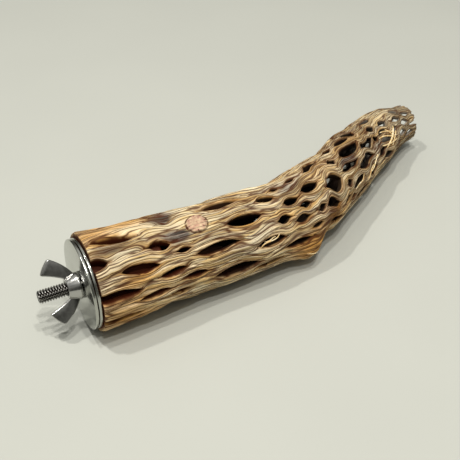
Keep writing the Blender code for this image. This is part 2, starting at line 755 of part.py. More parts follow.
def wing(number, where, finish):
    """One wing: a flat outline extruded to its thickness, stood in the plane of the axis."""
    outline = bpy.data.curves.new("wing", "CURVE")
    outline.dimensions = "2D"
    outline.fill_mode = "BOTH"
    outline.extrude = WING_THICKNESS / 2 * MM
    points = wing_outline()
    spline = outline.splines.new("POLY")
    spline.points.add(len(points) - 1)
    for point, (x, r) in zip(spline.points, points):
        point.co = (x * MM, r * MM, 0.0, 1.0)
    spline.use_cyclic_u = True
    turn = 90.0 - NUT_TURN + 180.0 * number
    return frozen(placed(f"wing_{number}", outline, where, finish, turn=(turn, 0.0, 0.0)))


def wing_nut(where, finish):
    """A conical boss with two paddle wings swept towards the bolt's free end."""
    base = -SEAT_GAP
    top = base - NUT_HEIGHT
    profile = (
        (NUT_BASE_RADIUS, base),
        (NUT_BASE_RADIUS, base - NUT_EDGE),
        (NUT_TOP_RADIUS, top + NUT_EDGE),
        (NUT_TOP_RADIUS - NUT_EDGE, top),
        (NUT_BORE_RADIUS, top),
        (NUT_BORE_RADIUS, base),
    )
    boss = frozen(turned("wing_nut", profile, NUT_SIDES, where, finish))
    return joined(boss, [wing(number, where, finish) for number in range(2)])


def stood_on_origin(pieces):
    """Moves every piece alike, so that the origin is under the middle of the whole."""
    bpy.context.view_layer.update()
    graph = bpy.context.evaluated_depsgraph_get()
    corners = []
    for piece in pieces:
        shown = piece.evaluated_get(graph)
        corners += [piece.matrix_world @ v.co for v in shown.to_mesh().vertices]
        shown.to_mesh_clear()
    low = Vector(min(c[axis] for c in corners) for axis in range(3))
    high = Vector(max(c[axis] for c in corners) for axis in range(3))
    middle = (low + high) / 2
    for piece in pieces:
        piece.location -= Vector((middle.x, middle.y, low.z))


def main():
    clear_scene()
    parts = new_collection(PART)
    wood = material("weathered_cholla_wood", (0.52, 0.33, 0.15), 0.75)
    dowel = material("turned_beech_dowel", (0.45, 0.24, 0.10), 0.6)
    zinc = material("bright_zinc_plated_steel", (0.62, 0.62, 0.61), 0.25, 1.0)
    steel = material("polished_stainless_steel", (0.70, 0.70, 0.69), 0.12, 1.0)
    nickel = material("bright_nickel_plated_steel", (0.66, 0.65, 0.63), 0.15, 1.0)
    pieces = [
        cholla_skeleton(parts, wood),
        end_plug(parts, dowel),
        hanger_stud(parts, zinc),
        washer("inner_washer", INNER_WASHER_FACE, parts, steel),
        washer("outer_washer", OUTER_WASHER_FACE, parts, steel),
        wing_nut(parts, nickel),
    ]
    stood_on_origin(pieces)


main()
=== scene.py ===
"""Looks of the cholla skeleton perch: weathered net-like wood, its plug, and bright steel clamp."""

import json
import math
from functools import partial

import bmesh
import bpy
import numpy as np
from bpy.props import FloatProperty, FloatVectorProperty, PointerProperty
from mathutils import Matrix, Vector
from mathutils.kdtree import KDTree

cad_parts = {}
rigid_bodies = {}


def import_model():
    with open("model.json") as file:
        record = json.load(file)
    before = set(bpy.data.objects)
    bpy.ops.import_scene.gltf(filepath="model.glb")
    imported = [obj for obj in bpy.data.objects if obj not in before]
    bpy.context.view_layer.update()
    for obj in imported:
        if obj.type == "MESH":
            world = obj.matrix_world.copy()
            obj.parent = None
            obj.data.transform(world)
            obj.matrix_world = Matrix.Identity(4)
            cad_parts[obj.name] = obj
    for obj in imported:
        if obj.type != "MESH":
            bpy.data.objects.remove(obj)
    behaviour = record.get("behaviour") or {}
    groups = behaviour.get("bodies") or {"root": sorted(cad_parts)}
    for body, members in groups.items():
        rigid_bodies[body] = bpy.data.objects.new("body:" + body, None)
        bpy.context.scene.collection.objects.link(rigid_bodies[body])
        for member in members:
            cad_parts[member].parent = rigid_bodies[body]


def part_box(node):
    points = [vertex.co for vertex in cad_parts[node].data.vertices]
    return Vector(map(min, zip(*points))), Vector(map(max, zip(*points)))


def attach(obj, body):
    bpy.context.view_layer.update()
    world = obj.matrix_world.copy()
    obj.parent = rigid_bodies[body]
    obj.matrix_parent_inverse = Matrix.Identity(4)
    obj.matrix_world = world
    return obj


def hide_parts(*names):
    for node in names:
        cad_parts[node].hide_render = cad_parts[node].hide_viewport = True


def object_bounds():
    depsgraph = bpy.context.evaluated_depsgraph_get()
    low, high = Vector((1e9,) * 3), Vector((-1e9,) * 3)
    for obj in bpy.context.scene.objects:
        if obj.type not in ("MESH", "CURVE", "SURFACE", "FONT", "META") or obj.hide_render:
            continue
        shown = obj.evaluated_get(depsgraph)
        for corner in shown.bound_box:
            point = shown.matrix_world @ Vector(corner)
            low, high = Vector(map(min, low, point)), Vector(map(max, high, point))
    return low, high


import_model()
CAD_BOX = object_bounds()

bl_info = {
    "name": "Cholla Perch",
    "version": (1, 0, 0),
    "blender": (4, 5, 0),
    "location": "View3D > Sidebar > Cholla",
    "description": "Builds a dried cholla stem perch with its washers, stud and wing nut",
    "category": "Object",
}

MM = 0.001
NOTHING = 1e-6  # lengths under this are none

# The bolt's axis runs along X through the outer washer's centre. All sizes below are in mm from
# the middle of that washer's front face, and placed() moves them there.
WASHER_LOW, WASHER_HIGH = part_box("outer_washer")
BOLT = Vector((WASHER_LOW.x, (WASHER_LOW.y + WASHER_HIGH.y) / 2, (WASHER_LOW.z + WASHER_HIGH.z) / 2))
AXIS_HEIGHT = 23.5
WOOD_END = 3.6
TIP = 245.4

# ---- the stem's form, as in the solid ----
# x, y, gap under the stem, outer radius, wall
STEM = (
    (0.0, 0.0, 0.0, 23.7, 7.2),
    (14.0, 0.0, 0.0, 23.4, 6.9),
    (28.0, 0.4, 0.4, 22.5, 6.2),
    (51.0, 1.6, 0.8, 21.2, 5.6),
    (74.0, 2.6, 0.5, 21.1, 5.2),
    (98.0, 4.2, 0.6, 20.5, 4.8),
    (119.0, 8.6, 0.7, 20.2, 4.4),
    (143.0, 20.6, 1.3, 18.1, 4.0),
    (168.0, 35.4, 1.5, 17.0, 3.6),
    (193.5, 51.4, 1.3, 15.0, 3.3),
    (212.0, 60.8, 1.5, 13.9, 3.0),
    (222.0, 63.8, 2.8, 11.6, 2.6),
    (231.0, 65.4, 3.4, 11.0, 2.5),
    (243.5, 66.8, 4.6, 10.0, 2.4),
)
PLUG_LENGTH = 34.0
BORE_RADIUS, PLUG_STATIONS = 16.5, 3  # round the plug, over the table's first rows, it is straight
BORE_START, BORE_FADE = 1.0, 16.0  # past the plug, where the bore begins to follow the bend
SQUARE_START, SQUARE_FADE = 2.0, 14.0  # the same for the cross-sections, past the sawn end
# Swellings and hollows of the surface: along, round, reach along, reach round, height
LUMPS = (
    (9.0, 180.0, 11.0, 20.0, 0.5),
    (112.0, 118.0, 9.0, 24.0, 4.6),
    (112.0, 158.0, 9.0, 18.0, 2.4),
    (196.0, 180.0, 8.0, 22.0, 2.2),
    (58.0, -8.0, 16.0, 20.0, 1.0),
    (66.0, -36.0, 9.0, 14.0, -1.1),
    (39.0, 137.0, 7.0, 18.0, -1.4),
    (111.0, -38.0, 9.0, 24.0, -2.2),
    (124.0, 119.0, 6.0, 24.0, -2.6),
    (43.5, 0.0, 4.5, 12.0, -2.6),
    (30.0, -13.0, 10.0, 5.0, -1.2),
    (134.0, 20.0, 12.0, 25.0, 1.2),
    (156.0, 27.0, 8.0, 9.0, -1.6),
    (205.0, 75.0, 9.0, 38.0, 1.9),
    (196.0, 168.0, 9.0, 26.0, 2.6),
    (205.0, -60.0, 10.0, 35.0, 0.9),
    (150.0, -80.0, 14.0, 22.0, 1.2),
    (161.0, -57.0, 7.0, 22.0, -2.2),
    (184.0, -48.0, 7.0, 18.0, 0.9),
    (70.0, -120.0, 18.0, 30.0, 1.2),
)
SCAR_ALONG, SCAR_ROUND, SCAR_RADIUS, SCAR_HEIGHT = 56.5, 18.0, 4.4, 0.7
SCAR_STRETCH = 1.2  # the branch scar is a little longer than wide
SCAR_CROWN, SCAR_FALL = 3.0, 2.4  # its raised disc is flat, then falls this steeply per radius

# Openings that were measured: along, round, half length, half width in degrees, lean in degrees
SEEN_OPENINGS = (
    (15.0, 9.5, 9.5, 4.4, 5.0),
    (3.5, 35.0, 6.5, 7.0, 0.0),
    (23.0, 52.0, 8.5, 5.8, 2.5),
    (34.5, 31.5, 5.0, 6.0, 3.0),
    (45.5, 46.0, 3.4, 3.2, 0.0),
    (37.5, 69.0, 6.5, 4.6, -1.5),
    (9.0, 75.5, 12.5, 6.2, 0.5),
    (49.3, 82.0, 5.8, 4.2, 1.0),
    (27.5, 89.5, 7.5, 4.6, -2.0),
    (41.5, 99.0, 4.5, 3.8, 2.0),
    (11.0, 109.5, 10.0, 3.6, 0.0),
    (71.5, -2.0, 9.0, 6.6, 0.0),
    (79.5, 33.5, 8.7, 7.2, 2.0),
    (62.5, 57.5, 10.6, 6.0, 0.5),
    (71.0, 98.0, 11.6, 9.4, 0.0),
    (94.5, 12.5, 4.6, 5.0, 3.5),
    (106.0, 29.5, 3.9, 5.4, 1.5),
    (99.0, 49.5, 3.3, 6.2, 0.0),
    (112.5, 43.5, 2.4, 4.6, 0.0),
    (108.5, 59.5, 3.4, 5.4, 0.0),
    (90.0, 72.5, 6.8, 5.8, 0.0),
    (119.0, 24.5, 4.8, 5.4, 0.0),
    (119.8, 59.5, 2.0, 4.2, 0.0),
    (127.6, 64.0, 4.3, 6.6, 3.0),
    (115.5, 80.5, 3.1, 3.6, 1.0),
    (104.0, 90.0, 6.6, 5.0, 0.0),
    (90.0, 109.0, 7.0, 3.6, 0.0),
    (103.0, 0.0, 2.2, 3.4, 0.0),
    (114.5, -4.0, 2.6, 3.4, 0.0),
    (133.0, -9.0, 8.0, 5.0, -5.0),
    (134.8, 42.0, 6.9, 12.0, 2.0),
    (146.5, 11.0, 3.2, 5.0, 2.0),
    (165.5, 14.0, 9.4, 7.8, 3.0),
    (155.5, 38.0, 7.8, 4.8, 1.0),
    (181.0, 30.0, 7.3, 5.8, -1.0),
    (170.5, -9.0, 6.2, 5.6, 0.0),
    (180.5, -17.0, 3.9, 11.0, 0.0),
    (147.5, 60.5, 2.5, 4.6, 0.0),
    (157.5, 72.0, 7.3, 6.2, 0.0),
    (170.5, 53.0, 8.6, 6.8, -1.0),
    (175.5, 78.0, 4.8, 8.4, 2.0),
    (141.0, 80.0, 3.8, 4.0, 1.0),
    (161.0, 97.5, 7.6, 5.4, 2.0),
    (129.0, 95.5, 5.0, 3.8, 2.0),
    (148.5, 86.0, 2.0, 3.6, 0.0),
    (156.5, -16.0, 3.2, 4.4, 0.0),
    (196.3, 13.0, 4.2, 5.4, 0.0),
    (210.0, 21.0, 3.9, 6.6, 2.0),
    (191.0, 36.5, 2.4, 5.0, 0.0),
    (203.0, 52.5, 7.2, 5.6, 2.0),
    (203.0, 38.0, 6.4, 3.2, 0.0),
    (191.5, 68.0, 4.6, 5.6, 2.0),
    (199.0, 85.0, 6.2, 6.0, 2.0),
    (216.0, 47.5, 2.4, 6.4, 0.0),
    (203.5, -14.0, 5.8, 5.4, 0.0),
    (228.5, 10.0, 3.4, 6.0, 0.0),
    (224.0, 33.0, 4.0, 5.6, 1.0),
    (238.2, 23.0, 4.0, 5.6, 0.0),
    (232.3, 47.5, 5.0, 6.2, 0.0),
    (225.2, 68.0, 4.8, 5.8, 0.0),
    (236.0, 84.0, 4.8, 6.2, 0.0),
    (218.0, 87.0, 2.2, 4.2, 0.0),
)
# The rest of the net: along of the row, half length, half width in degrees, openings in the turn
NET_ROWS = (
    (13.0, 9.5, 4.6, 9),
    (31.0, 9.0, 4.8, 9),
    (48.5, 8.6, 5.0, 9),
    (65.5, 8.4, 5.2, 9),
    (82.0, 8.0, 5.4, 9),
    (97.5, 7.4, 5.6, 9),
    (112.0, 7.0, 6.2, 9),
    (125.5, 7.4, 11.5, 9),
    (138.0, 6.6, 8.0, 9),
    (150.0, 6.4, 9.0, 9),
    (161.8, 6.6, 10.0, 9),
    (173.0, 5.8, 9.0, 9),
    (183.5, 5.4, 8.6, 9),
    (193.0, 6.2, 13.5, 9),
    (202.8, 4.6, 8.0, 9),
    (212.0, 4.2, 7.8, 9),
)
NET_SEED = 11
# How far an opening strays: along, round, share of its length, share of its width, lean
NET_STRAY = (1.6, 2.2, 0.14, 0.16, 1.2)
TIP_STRAY = (0.2, 0.8, 0.0, 0.08, 0.0)
NET_FIRST = 160.0
NET_LAST = 333.0
# Row and place in it of those that are grown shut
NET_SHUT = {(0, 2), (0, 4), (1, 0), (1, 2), (2, 2), (3, 2), (6, 1), (7, 2), (8, 1), (8, 2), (14, 2)}
# Along, half length, half width and first angle of each row by the tip
TIP_ROWS = (
    (222.3, 3.4, 5.6, 106.0),
    (229.2, 3.2, 5.6, 124.0),
    (236.2, 3.2, 5.6, 106.0),
)
TIP_STEP = 36.0
TIP_LAST = 341.0
TIP_NOTCHES = (61.0, 124.0, 160.0, 196.0, 232.0, 268.0, 304.0, 340.0)
TIP_NOTCH_DEPTH = 7.0
TIP_NOTCH_HALF_WIDTH = 5.5
THIN_END, THIN_END_WIDER = 118.0, 1.25
OPENING_SHAPE = 0.7  # 0.5 would make an opening an ellipse, 1 a lens
FIBRE_REACH = 2.6  # fibres give way up to about this many half widths from an opening
LEAN_REACH = 3.0  # the same for a leaning opening's twist

# ---- the stem's skin ----
COLUMNS = 320  # fibres drawn round the stem, a multiple of 2
ROWS = 207  # stations along it, odd
SEAM = -152.0
HAIR = 1e-3  # degrees from a slit to each of its two edges
ROW_CLOSING = 0.12  # how much closer the stations stand at the tip
CRACK_WIDTH = 0.5  # degrees: a slit runs on as a hair crack past its opening
CRACK_REACH = 3.0  # degrees to each side in which fibres make room for it
CRACK_RUN = 9.0  # and how far it runs past an end of the stem
WOOD_SHARP = 62.0  # degrees between faces from which an edge is drawn sharp
SKIN_SEED = 5  # each noise adds its own number to this
NOISE_SPARE = 4  # cells of each noise that are kept for places past the tip
# Noises: cells round the stem, length of a cell in mm, and the noise's own number
STRANDS = (56, 44.0, 0)
RIDGES = (116, 28.0, 1)
SWELLS = (10, 17.0, 2)
BORE_NOISE = (60, 22.0, 6)
DRIFTS = ((10, 26.0, 7), (10, 26.0, 8), (10, 26.0, 9))  # of both families, and of which is on top
CREASE_SHARPNESS, CREASE_MIDDLE = 0.7, 0.55
SWELL_DEPTH, SWELL_MIDDLE = 0.45, 0.6
DRIFT, DRIFT_START = 11.0, 2.5  # degrees two families part, past this far from an opening
BUNDLES, BUNDLE_LEAN, BUNDLE_STRAY = 8, 0.55, 9.0
BUNDLE_DEPTH, BUNDLE_STEP, BUNDLE_MIDDLE = 0.45, 4.0, 0.8
HUG_REACH = 1.1  # the grain hugs an opening within this share of its width
GROOVE_RUN = 5.0  # an opening's ends run on as a groove for about this far
GROOVE_START, GROOVE_WIDTH = 2.0, 0.9  # which begins this far inside the opening
SCAR_GROOVE, SCAR_GROOVE_AT, SCAR_GROOVE_WIDTH = 0.7, 1.08, 0.12  # depth, and shares of its radius
SCAR_BARE, SCAR_BARE_FADE = 0.9, 0.5  # no strands inside this share of its radius
SCAR_LIMIT = 3.0  # how far from the scar the distance to it is kept
# A point is in a crease, painted as shade, where a noise is this near 0, one over its width
STRAND_DARK, RIDGE_DARK, BUNDLE_DARK = 10.0, 7.0, 11.0
# Painted shade in a ridge's crease is this share of a strand's
RIDGE_SHADE = 0.55  # a ridge's crease is this dark beside a strand's

# ---- the stem's edges ----
EDGE_REACH = 14.0  # distances to the nearest opening are kept up to this
EDGE_SWELL = 0.35  # the strand beside an opening stands this much proud
EDGE_SWELL_AT, EDGE_SWELL_WIDTH = 3.4, 1.8
EDGE_FADE, EDGE_LEAST = 1.5, 0.15  # strands flatten toward an opening, down to this share
THICK_WALL, THIN_WALL_LEAST = 4.5, 0.4  # walls under this are rounded less, down to this share
SAWN_ROUNDING, SAWN_REACH = 0.4, 0.9
SAWN_START, SAWN_FADE = 0.6, 2.2  # the sawn end is smooth, and strands rise over this length
RIM_RAG = 2.2  # how far the broken rim stands back at most
RIM_LEAST, RIM_NOISES = 0.35, ((0.45, (60, 50.0, 3)), (0.4, (150, 50.0, 4)))  # shares of it
RIM_REACH = 10.0  # length over which the stations give way to it
# Rings between the skin's edge and the bore: depth through the wall, and how far they bulge, mm
WALL_RINGS = ((0.74, 0.22), (0.45, 0.30), (0.16, 0.12))
# Painted shade on the rings of an opening's wall, as in a crease
RING_SHADE = 0.25  # how dark a ring is, as a crease
BULGE_SHARE = 0.36  # of the opening's width at most
# The bore stands in from its own surface by shares of the wall: everywhere, by noise, at edges
BORE_IN, BORE_ROUGH, BORE_LIP, BORE_LIP_REACH = 0.10, 0.07, 0.16, 0.7
BORE_ROUGH_START, BORE_ROUGH_FADE = 2.0, 8.0  # past the plug, which it fits closely
# The bore's painted shade, as in a crease
BORE_SHADE = 0.5  # how dark it is on average, as a crease
HOLLOW_REACH = 1.1  # mm from an edge over which the skin takes the hollow's colour
PATCH_EDGE = 1.5  # over 1, a patch of colour has a flat middle and a crisp edge
GRAIN_RADIUS = 20.0  # of the straight cylinder on which the grain is drawn
BOX_HAIR = 0.02  # everything stays this far inside the solid's box
# Patches of other colours: along, round, reach along, reach round, amount.
# Those that have weathered grey
GREY_PATCHES = (
    (12.0, 23.0, 10.0, 7.0, 0.9),
    (30.0, 24.0, 12.0, 8.0, 0.4),
    (42.0, -14.0, 7.0, 12.0, 1.5),
    (44.0, 27.0, 8.0, 9.0, 1.6),
    (62.0, 38.0, 8.0, 8.0, 0.5),
    (70.0, 72.0, 9.0, 10.0, 0.5),
    (86.0, 62.0, 8.0, 9.0, 0.4),
    (44.0, 92.0, 6.0, 8.0, 0.5),
    (111.0, 5.0, 10.0, 16.0, 0.9),
    (109.0, 60.0, 6.0, 9.0, 0.6),
    (126.0, 79.0, 6.0, 14.0, 1.4),
    (158.0, 29.0, 8.0, 14.0, 1.4),
    (186.0, -10.0, 12.0, 20.0, 0.6),
    (190.0, 52.0, 9.0, 16.0, 0.8),
    (176.0, 66.0, 8.0, 12.0, 0.5),
)
# Sheltered ones that have kept the honey colour of fresh wood
HONEY_PATCHES = (
    (20.0, -28.0, 18.0, 24.0, 0.7),
    (8.0, -6.0, 12.0, 16.0, 0.65),
    (20.0, 62.0, 9.0, 8.0, 0.65),
    (12.0, 92.0, 14.0, 18.0, 0.5),
    (18.0, 122.0, 20.0, 16.0, 0.6),
    (79.0, 40.0, 8.0, 5.0, 0.5),
    (112.0, 108.0, 12.0, 26.0, 0.9),
    (128.0, 84.0, 8.0, 16.0, 0.5),
    (136.0, 6.0, 12.0, 22.0, 0.35),
    (170.0, 0.0, 16.0, 20.0, 0.35),
    (206.0, 56.0, 9.0, 18.0, 0.45),
)
# Fibres that have come loose: along and round at each end, lift in mm, radius in mm
LOOSE_FIBRES = (
    (94.0, 66.0, 83.5, 78.0, 0.6, 0.32),
    (92.0, 68.0, 86.0, 70.0, 0.4, 0.24),
    (194.0, 42.0, 215.0, 62.0, 0.6, 0.50),
    (197.0, 68.0, 216.0, 42.0, 0.7, 0.52),
    (193.0, 58.0, 214.0, 70.0, 0.5, 0.46),
    (199.0, 34.0, 213.0, 54.0, 0.5, 0.44),
    (204.0, 72.0, 216.0, 54.0, 0.4, 0.40),
    (206.0, 36.0, 209.0, 66.0, 0.6, 0.38),
    (176.0, 70.0, 166.0, 88.0, 0.3, 0.34),
    (184.0, 62.0, 170.0, 76.0, 0.3, 0.36),
    (151.0, 78.0, 163.0, 66.0, 0.3, 0.30),
    (108.0, 112.0, 121.0, 122.0, 0.3, 0.34),
    (106.0, 124.0, 120.0, 128.0, 0.3, 0.30),
)
FIBRE_STEPS = 14
FIBRE_ROOT = 0.25  # how deep a loose fibre's ends sink into the wood, mm
FIBRE_SIDES = 7
FIBRE_SWAY = (0.9, 3.0)  # along in mm and round in degrees
FIBRE_ARCH = 0.6  # under 1, an arch is flat on top
FIBRE_TAPER, FIBRE_TAPER_POWER = 0.45, 3  # share of the radius lost at the ends
FIBRE_INSIDE = 0.5  # how far inside the box their middle lines stay
FIBRE_SEED = 8

# ---- hardware, as in the solid ----
SEAT_GAP = 0.3  # running gap between pieces that rest on each other
THREAD_RADIUS = 3.175  # 1/4 inch, 20 threads to the inch
THREAD_PITCH = 1.27
THREAD_CREST, THREAD_ROOT = 0.10, 0.43  # turns from a ridge's middle to its flank's two ends
THREAD_SIDES = 48
THREAD_ROWS = 443  # twelve to a pitch, so that every turn is cut alike
AXIS_WIDTH = 0.5  # share of the rod's radius inside which a point is on its axis
STUD_FREE_END = -19.5
STUD_CHAMFER = 0.9
STUD_END_RADIUS = 2.55
STUD_THREAD_END = 7.0
STUD_SCREW_RADIUS = 2.7  # the wood-screw thread that holds in the plug
STUD_SCREW_PITCH = 2.6
STUD_SCREW_DEPTH = 0.7
STUD_POINT = 30.0
STUD_TAPER = 7.0
STUD_POINT_RADIUS = 0.4
WASHER_RADIUS = 21.5
WASHER_THICKNESS = 1.5
WASHER_HOLE_RADIUS = 3.65
WASHER_SIDES = 160
CORNER_STEPS = 5  # facets of a washer's rounded edge
OUTER_WASHER_FACE = 0.0
INNER_WASHER_FACE = OUTER_WASHER_FACE + WASHER_THICKNESS + SEAT_GAP
NUT_BASE_RADIUS = 6.4
NUT_TOP_RADIUS = 4.8
NUT_HEIGHT = 6.0
NUT_BORE_RADIUS = THREAD_RADIUS + SEAT_GAP
NUT_FOOT = 1.0  # height of the boss's straight foot
NUT_EDGE, NUT_CORNER_STEPS, NUT_SIDES = 0.3, 4, 72
NUT_SHARP = 38.0  # degrees between faces from which an edge is drawn sharp
NUT_TURN = 33.0  # how far the wings stand from upright, degrees
WING_THICKNESS = 2.1
WING_OUTER_CORNER = (-11.1, 15.5)  # x from the washer's face, and distance from the axis
WING_INNER_CORNER = (-16.3, 8.9)
WING_ROOT_OUTER = (-1.0, 5.2)
WING_ROOT_INNER = (-5.2, 4.1)
WING_SWELL = 1.0  # how far the swept edge of a wing bows outward
WING_BOWS = (1.0, 0.5, -0.4)  # the three edges' bows as shares of that
WING_CORNER = 1.0  # how far from its corner the rounding of a wing's end starts
WING_CORNER_STEPS = 5
WING_BURIED = ((-4.6, 3.9), (-1.6, 4.6))  # corners hidden in the boss
WING_STEPS = 12
WING_EDGE, WING_EDGE_STEPS = 0.5, 4
PLUG_RADIUS = 15.6
PLUG_CHAMFER = 0.8
PLUG_SIDES = 96
PLUG_BORE_RADIUS = THREAD_RADIUS + SEAT_GAP
PLUG_PILOT_RADIUS = STUD_SCREW_RADIUS + SEAT_GAP
PLUG_BORE_END = (1.0, 2.0)  # past the machine thread the bore narrows from here to here
PLUG_PILOT_POINT = 1.5  # length of the drill's point
TURNED_SHARP = 40.0  # degrees between faces from which a turned piece's edge is sharp

# ---- patterns of the finishes ----
# Coarse and fine fibres: mm across and along. Single fibres are finer still, but wouldn't show
FIBRE_SIZES = ((1.55, 38.0), (0.7, 20.0))
FIBRE_TINTS = (0.55, 0.55, 0.03)  # to the mm: tints 2 mm across and 30 mm long
SWAY_CELLS, SWAY = (0.12, 0.12, 0.06), (2.4, 2.4, 0.0)  # to the mm, and how far in mm
BLOTCHES = 75.0  # to the metre: weathered blotches 13 mm across
PITS = 620.0  # 1.6 mm across
FLECKS = 500.0  # 2 mm across
PORES = (60.0, 1500.0, 1500.0)  # of the plug: 17 mm long and 0.7 mm across, coarse enough to show
MOTTLE = 9.0  # of the paper: 110 mm across
FIBRE_BUMP, PORE_BUMP, SCRATCH_BUMP = 0.0005, 0.0001, 0.00002  # metres
FINE_BUMP, TINT_BUMP = 1.3, 0.6  # shares of the fine lines and the tints in it
# Roughness, and handling marks to the metre, drawn coarser than real scratches so that they show.
# The stud's zinc is duller than the polished washers and the nickel of the nut
STUD_GLOSS, WASHER_GLOSS, NUT_GLOSS = (0.34, 900.0), (0.14, 420.0), (0.16, 700.0)
SCRATCH_BLUR = (0.7, 1.5)  # shares of that roughness, between the scratches and on them

# ---- the stage ----
CAMERA_LENS, CAMERA_SENSOR, CAMERA_NEAR = 67.18, 36.0, 0.01
CAMERA_PLACE = (-74.2, -295.4, 255.35)  # from the bolt's frame, mm
CAMERA_DIRECTION = (0.3633, 0.7105, -0.6026)
FLOOR_HALF, FLOOR_CELLS = 3.0, 8
LAMP_SIZE, LAMP_TINT = 0.05, "#fffdf8"
# Name, place in metres, and which setting holds its power
LAMPS = (
    ("overhead", (-0.13, -0.17, 1.30), "overhead_power"),
    ("front", (0.0, -0.39, 1.30), "front_power"),
    ("far_front", (-0.15, -0.66, 1.25), "front_power"),
    ("back_left", (-0.43, 0.22, 1.20), "back_power"),
)
ROOM_PATCHES = 2.2  # light and dark parts of the room
ROOM_LEAST, ROOM_MOST = 0.4, 1.6  # shares of the room's light in them


# ---- small tools ----
def colour(hex_code):
    """An sRGB hex colour as linear RGBA."""
    channels = [int(hex_code[i : i + 2], 16) / 255 for i in (1, 3, 5)]
    linear = [c / 12.92 if c <= 0.04045 else ((c + 0.055) / 1.055) ** 2.4 for c in channels]
    return (*linear, 1.0)


def node(tree, kind, links=None, stops=None, **settings):
    """Adds a node with its settings, its links or socket values, and a colour ramp's stops. A node
    among the links stands for its first output in use."""
    made = tree.nodes.new(kind)
    for name, value in settings.items():
        setattr(made, name, value)
    for k, (position, tint) in enumerate(stops or ()):
        ramp = made.color_ramp.elements
        stop = ramp[k] if k < len(ramp) else ramp.new(position)
        stop.position, stop.color = position, tint
    for key, value in (links or {}).items():
        if isinstance(value, bpy.types.Node):
            value = next(output for output in value.outputs if output.enabled)
        if isinstance(value, bpy.types.NodeSocket):
            tree.links.new(value, made.inputs[key])
        else:
            made.inputs[key].default_value = value
    return made


def smoothed(mesh, degrees):
    """Smooth shading, with edges that turn by more than this left sharp."""
    mesh.shade_smooth()
    mesh.set_sharp_from_angle(angle=math.radians(degrees))
    return mesh


def mesh_from(name, bm):
    """A new mesh from a bmesh, which is freed."""
    mesh = bpy.data.meshes.new(name)
    bm.to_mesh(mesh)
    bm.free()
    return mesh


def linked(name, data, collection=None):
    """A new object with this data, in the scene or another collection."""
    made = bpy.data.objects.new(name, data)
    (collection or bpy.context.scene.collection).objects.link(made)
    return made


def placed(name, mesh, body, replaced=None, look=None):
    """Links a mesh made in mm about the bolt's axis as a piece of the row, riding on a body."""
    mesh.transform(Matrix.Translation(BOLT) @ Matrix.Scale(MM, 4))
    made = linked(name, mesh)
    mesh.materials.clear()
    mesh.materials.append(look)
    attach(made, body)
    if replaced:
        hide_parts(replaced)
    return made


class Track:
    """A smooth line of values through given stations (Catmull-Rom, uneven spacing)."""

    def __init__(self, stations, values):
        self.x = np.asarray(stations, float)
        self.y = np.asarray(values, float)
        self.slope = np.gradient(self.y, self.x)

    def __call__(self, at):
        at = np.clip(np.asarray(at, float), self.x[0], self.x[-1])
        i = np.clip(np.searchsorted(self.x, at) - 1, 0, len(self.x) - 2)
        step = self.x[i + 1] - self.x[i]
        t = (at - self.x[i]) / step
        a, b = self.y[i], self.y[i + 1]
        ma, mb = self.slope[i] * step, self.slope[i + 1] * step
        return (
            a * (1 + 2 * t) * (1 - t) ** 2
            + ma * t * (1 - t) ** 2
            + b * t * t * (3 - 2 * t)
            - mb * t * t * (1 - t)
        )


def wrapped(degrees):
    """The same angle between -180 and 180."""
    return (np.asarray(degrees, float) + 180.0) % 360.0 - 180.0


def smooth(x):
    """Eases from 0 to 1."""
    x = np.clip(x, 0.0, 1.0)
    return x * x * (3.0 - 2.0 * x)


def rounding(x):
    """How far a quarter circle has dropped: 0 at 0 and 1 at 1."""
    return 1.0 - np.sqrt(1.0 - x**2)


def bell(along, round_, at, turn, reach, spread, power=1.0):
    """1 at a place on the stem, fading over its reach along and its spread round."""
    away = ((along - at) / reach) ** 2 + (wrapped(round_ - turn) / spread) ** 2
    return np.exp(-(away**power))


def fibre_noise(round_, along, cells, run, number):
    """Smooth noise from -1 to 1 on a lattice of cells round the stem and of run mm along it."""
    rng = np.random.default_rng(SKIN_SEED + number)
    lattice = rng.uniform(-1.0, 1.0, (cells, int(TIP / run) + NOISE_SPARE))
    u = (np.asarray(round_, float) / 360.0 * cells) % cells
    v = np.clip(np.asarray(along, float) / run, 0.0, lattice.shape[1] - 2)
    i, j = np.floor(u).astype(int), np.floor(v).astype(int)
    fu, fv = smooth(u - i), smooth(v - j)
    near, far = i % cells, (i + 1) % cells
    low = lattice[near, j] * (1 - fu) + lattice[far, j] * fu
    high = lattice[near, j + 1] * (1 - fu) + lattice[far, j + 1] * fu
    return low * (1 - fv) + high * fv


# ---- the stem's formulas ----
def stem_tracks():
    """The centre line's three coordinates, the girth and the bore's radius along the stem."""
    x, y, gap, radius, wall = (np.array(column) for column in zip(*STEM))
    z = radius + gap - AXIS_HEIGHT
    centre = np.stack([x, y, z], axis=1)
    along = np.concatenate([[0.0], np.cumsum(np.linalg.norm(np.diff(centre, axis=0), axis=1))])
    bore = radius - wall
    bore[:PLUG_STATIONS] = BORE_RADIUS
    return [Track(along, column) for column in (x, y, z)], Track(along, radius), Track(along, bore)


CENTRE, GIRTH, BORE = stem_tracks()


def unit(vectors):
    return vectors / np.linalg.norm(vectors, axis=-1, keepdims=True)


def centre_line(along):
    """Centre, up and side directions at each station."""
    step = 0.5
    centre, ahead, behind = (
        np.stack([track(along + off) for track in CENTRE], axis=-1) for off in (0.0, step, -step)
    )
    tangent = unit(ahead - behind)
    # The sawn end is square to the bolt.
    square = 1.0 - smooth((np.asarray(along) - WOOD_END - SQUARE_START) / SQUARE_FADE)
    tangent = unit(tangent + square[..., None] * (np.array([1.0, 0.0, 0.0]) - tangent))
    up = unit(np.array([0.0, 0.0, 1.0]) - tangent * tangent[..., 2:3])
    return centre, up, np.cross(tangent, up)


def from_scar(along, round_):
    """Distance from the branch scar's middle, as a share of its radius."""
    across = np.radians(wrapped(round_ - SCAR_ROUND)) * GIRTH(along)
    return np.hypot((along - SCAR_ALONG) / SCAR_STRETCH, across) / SCAR_RADIUS


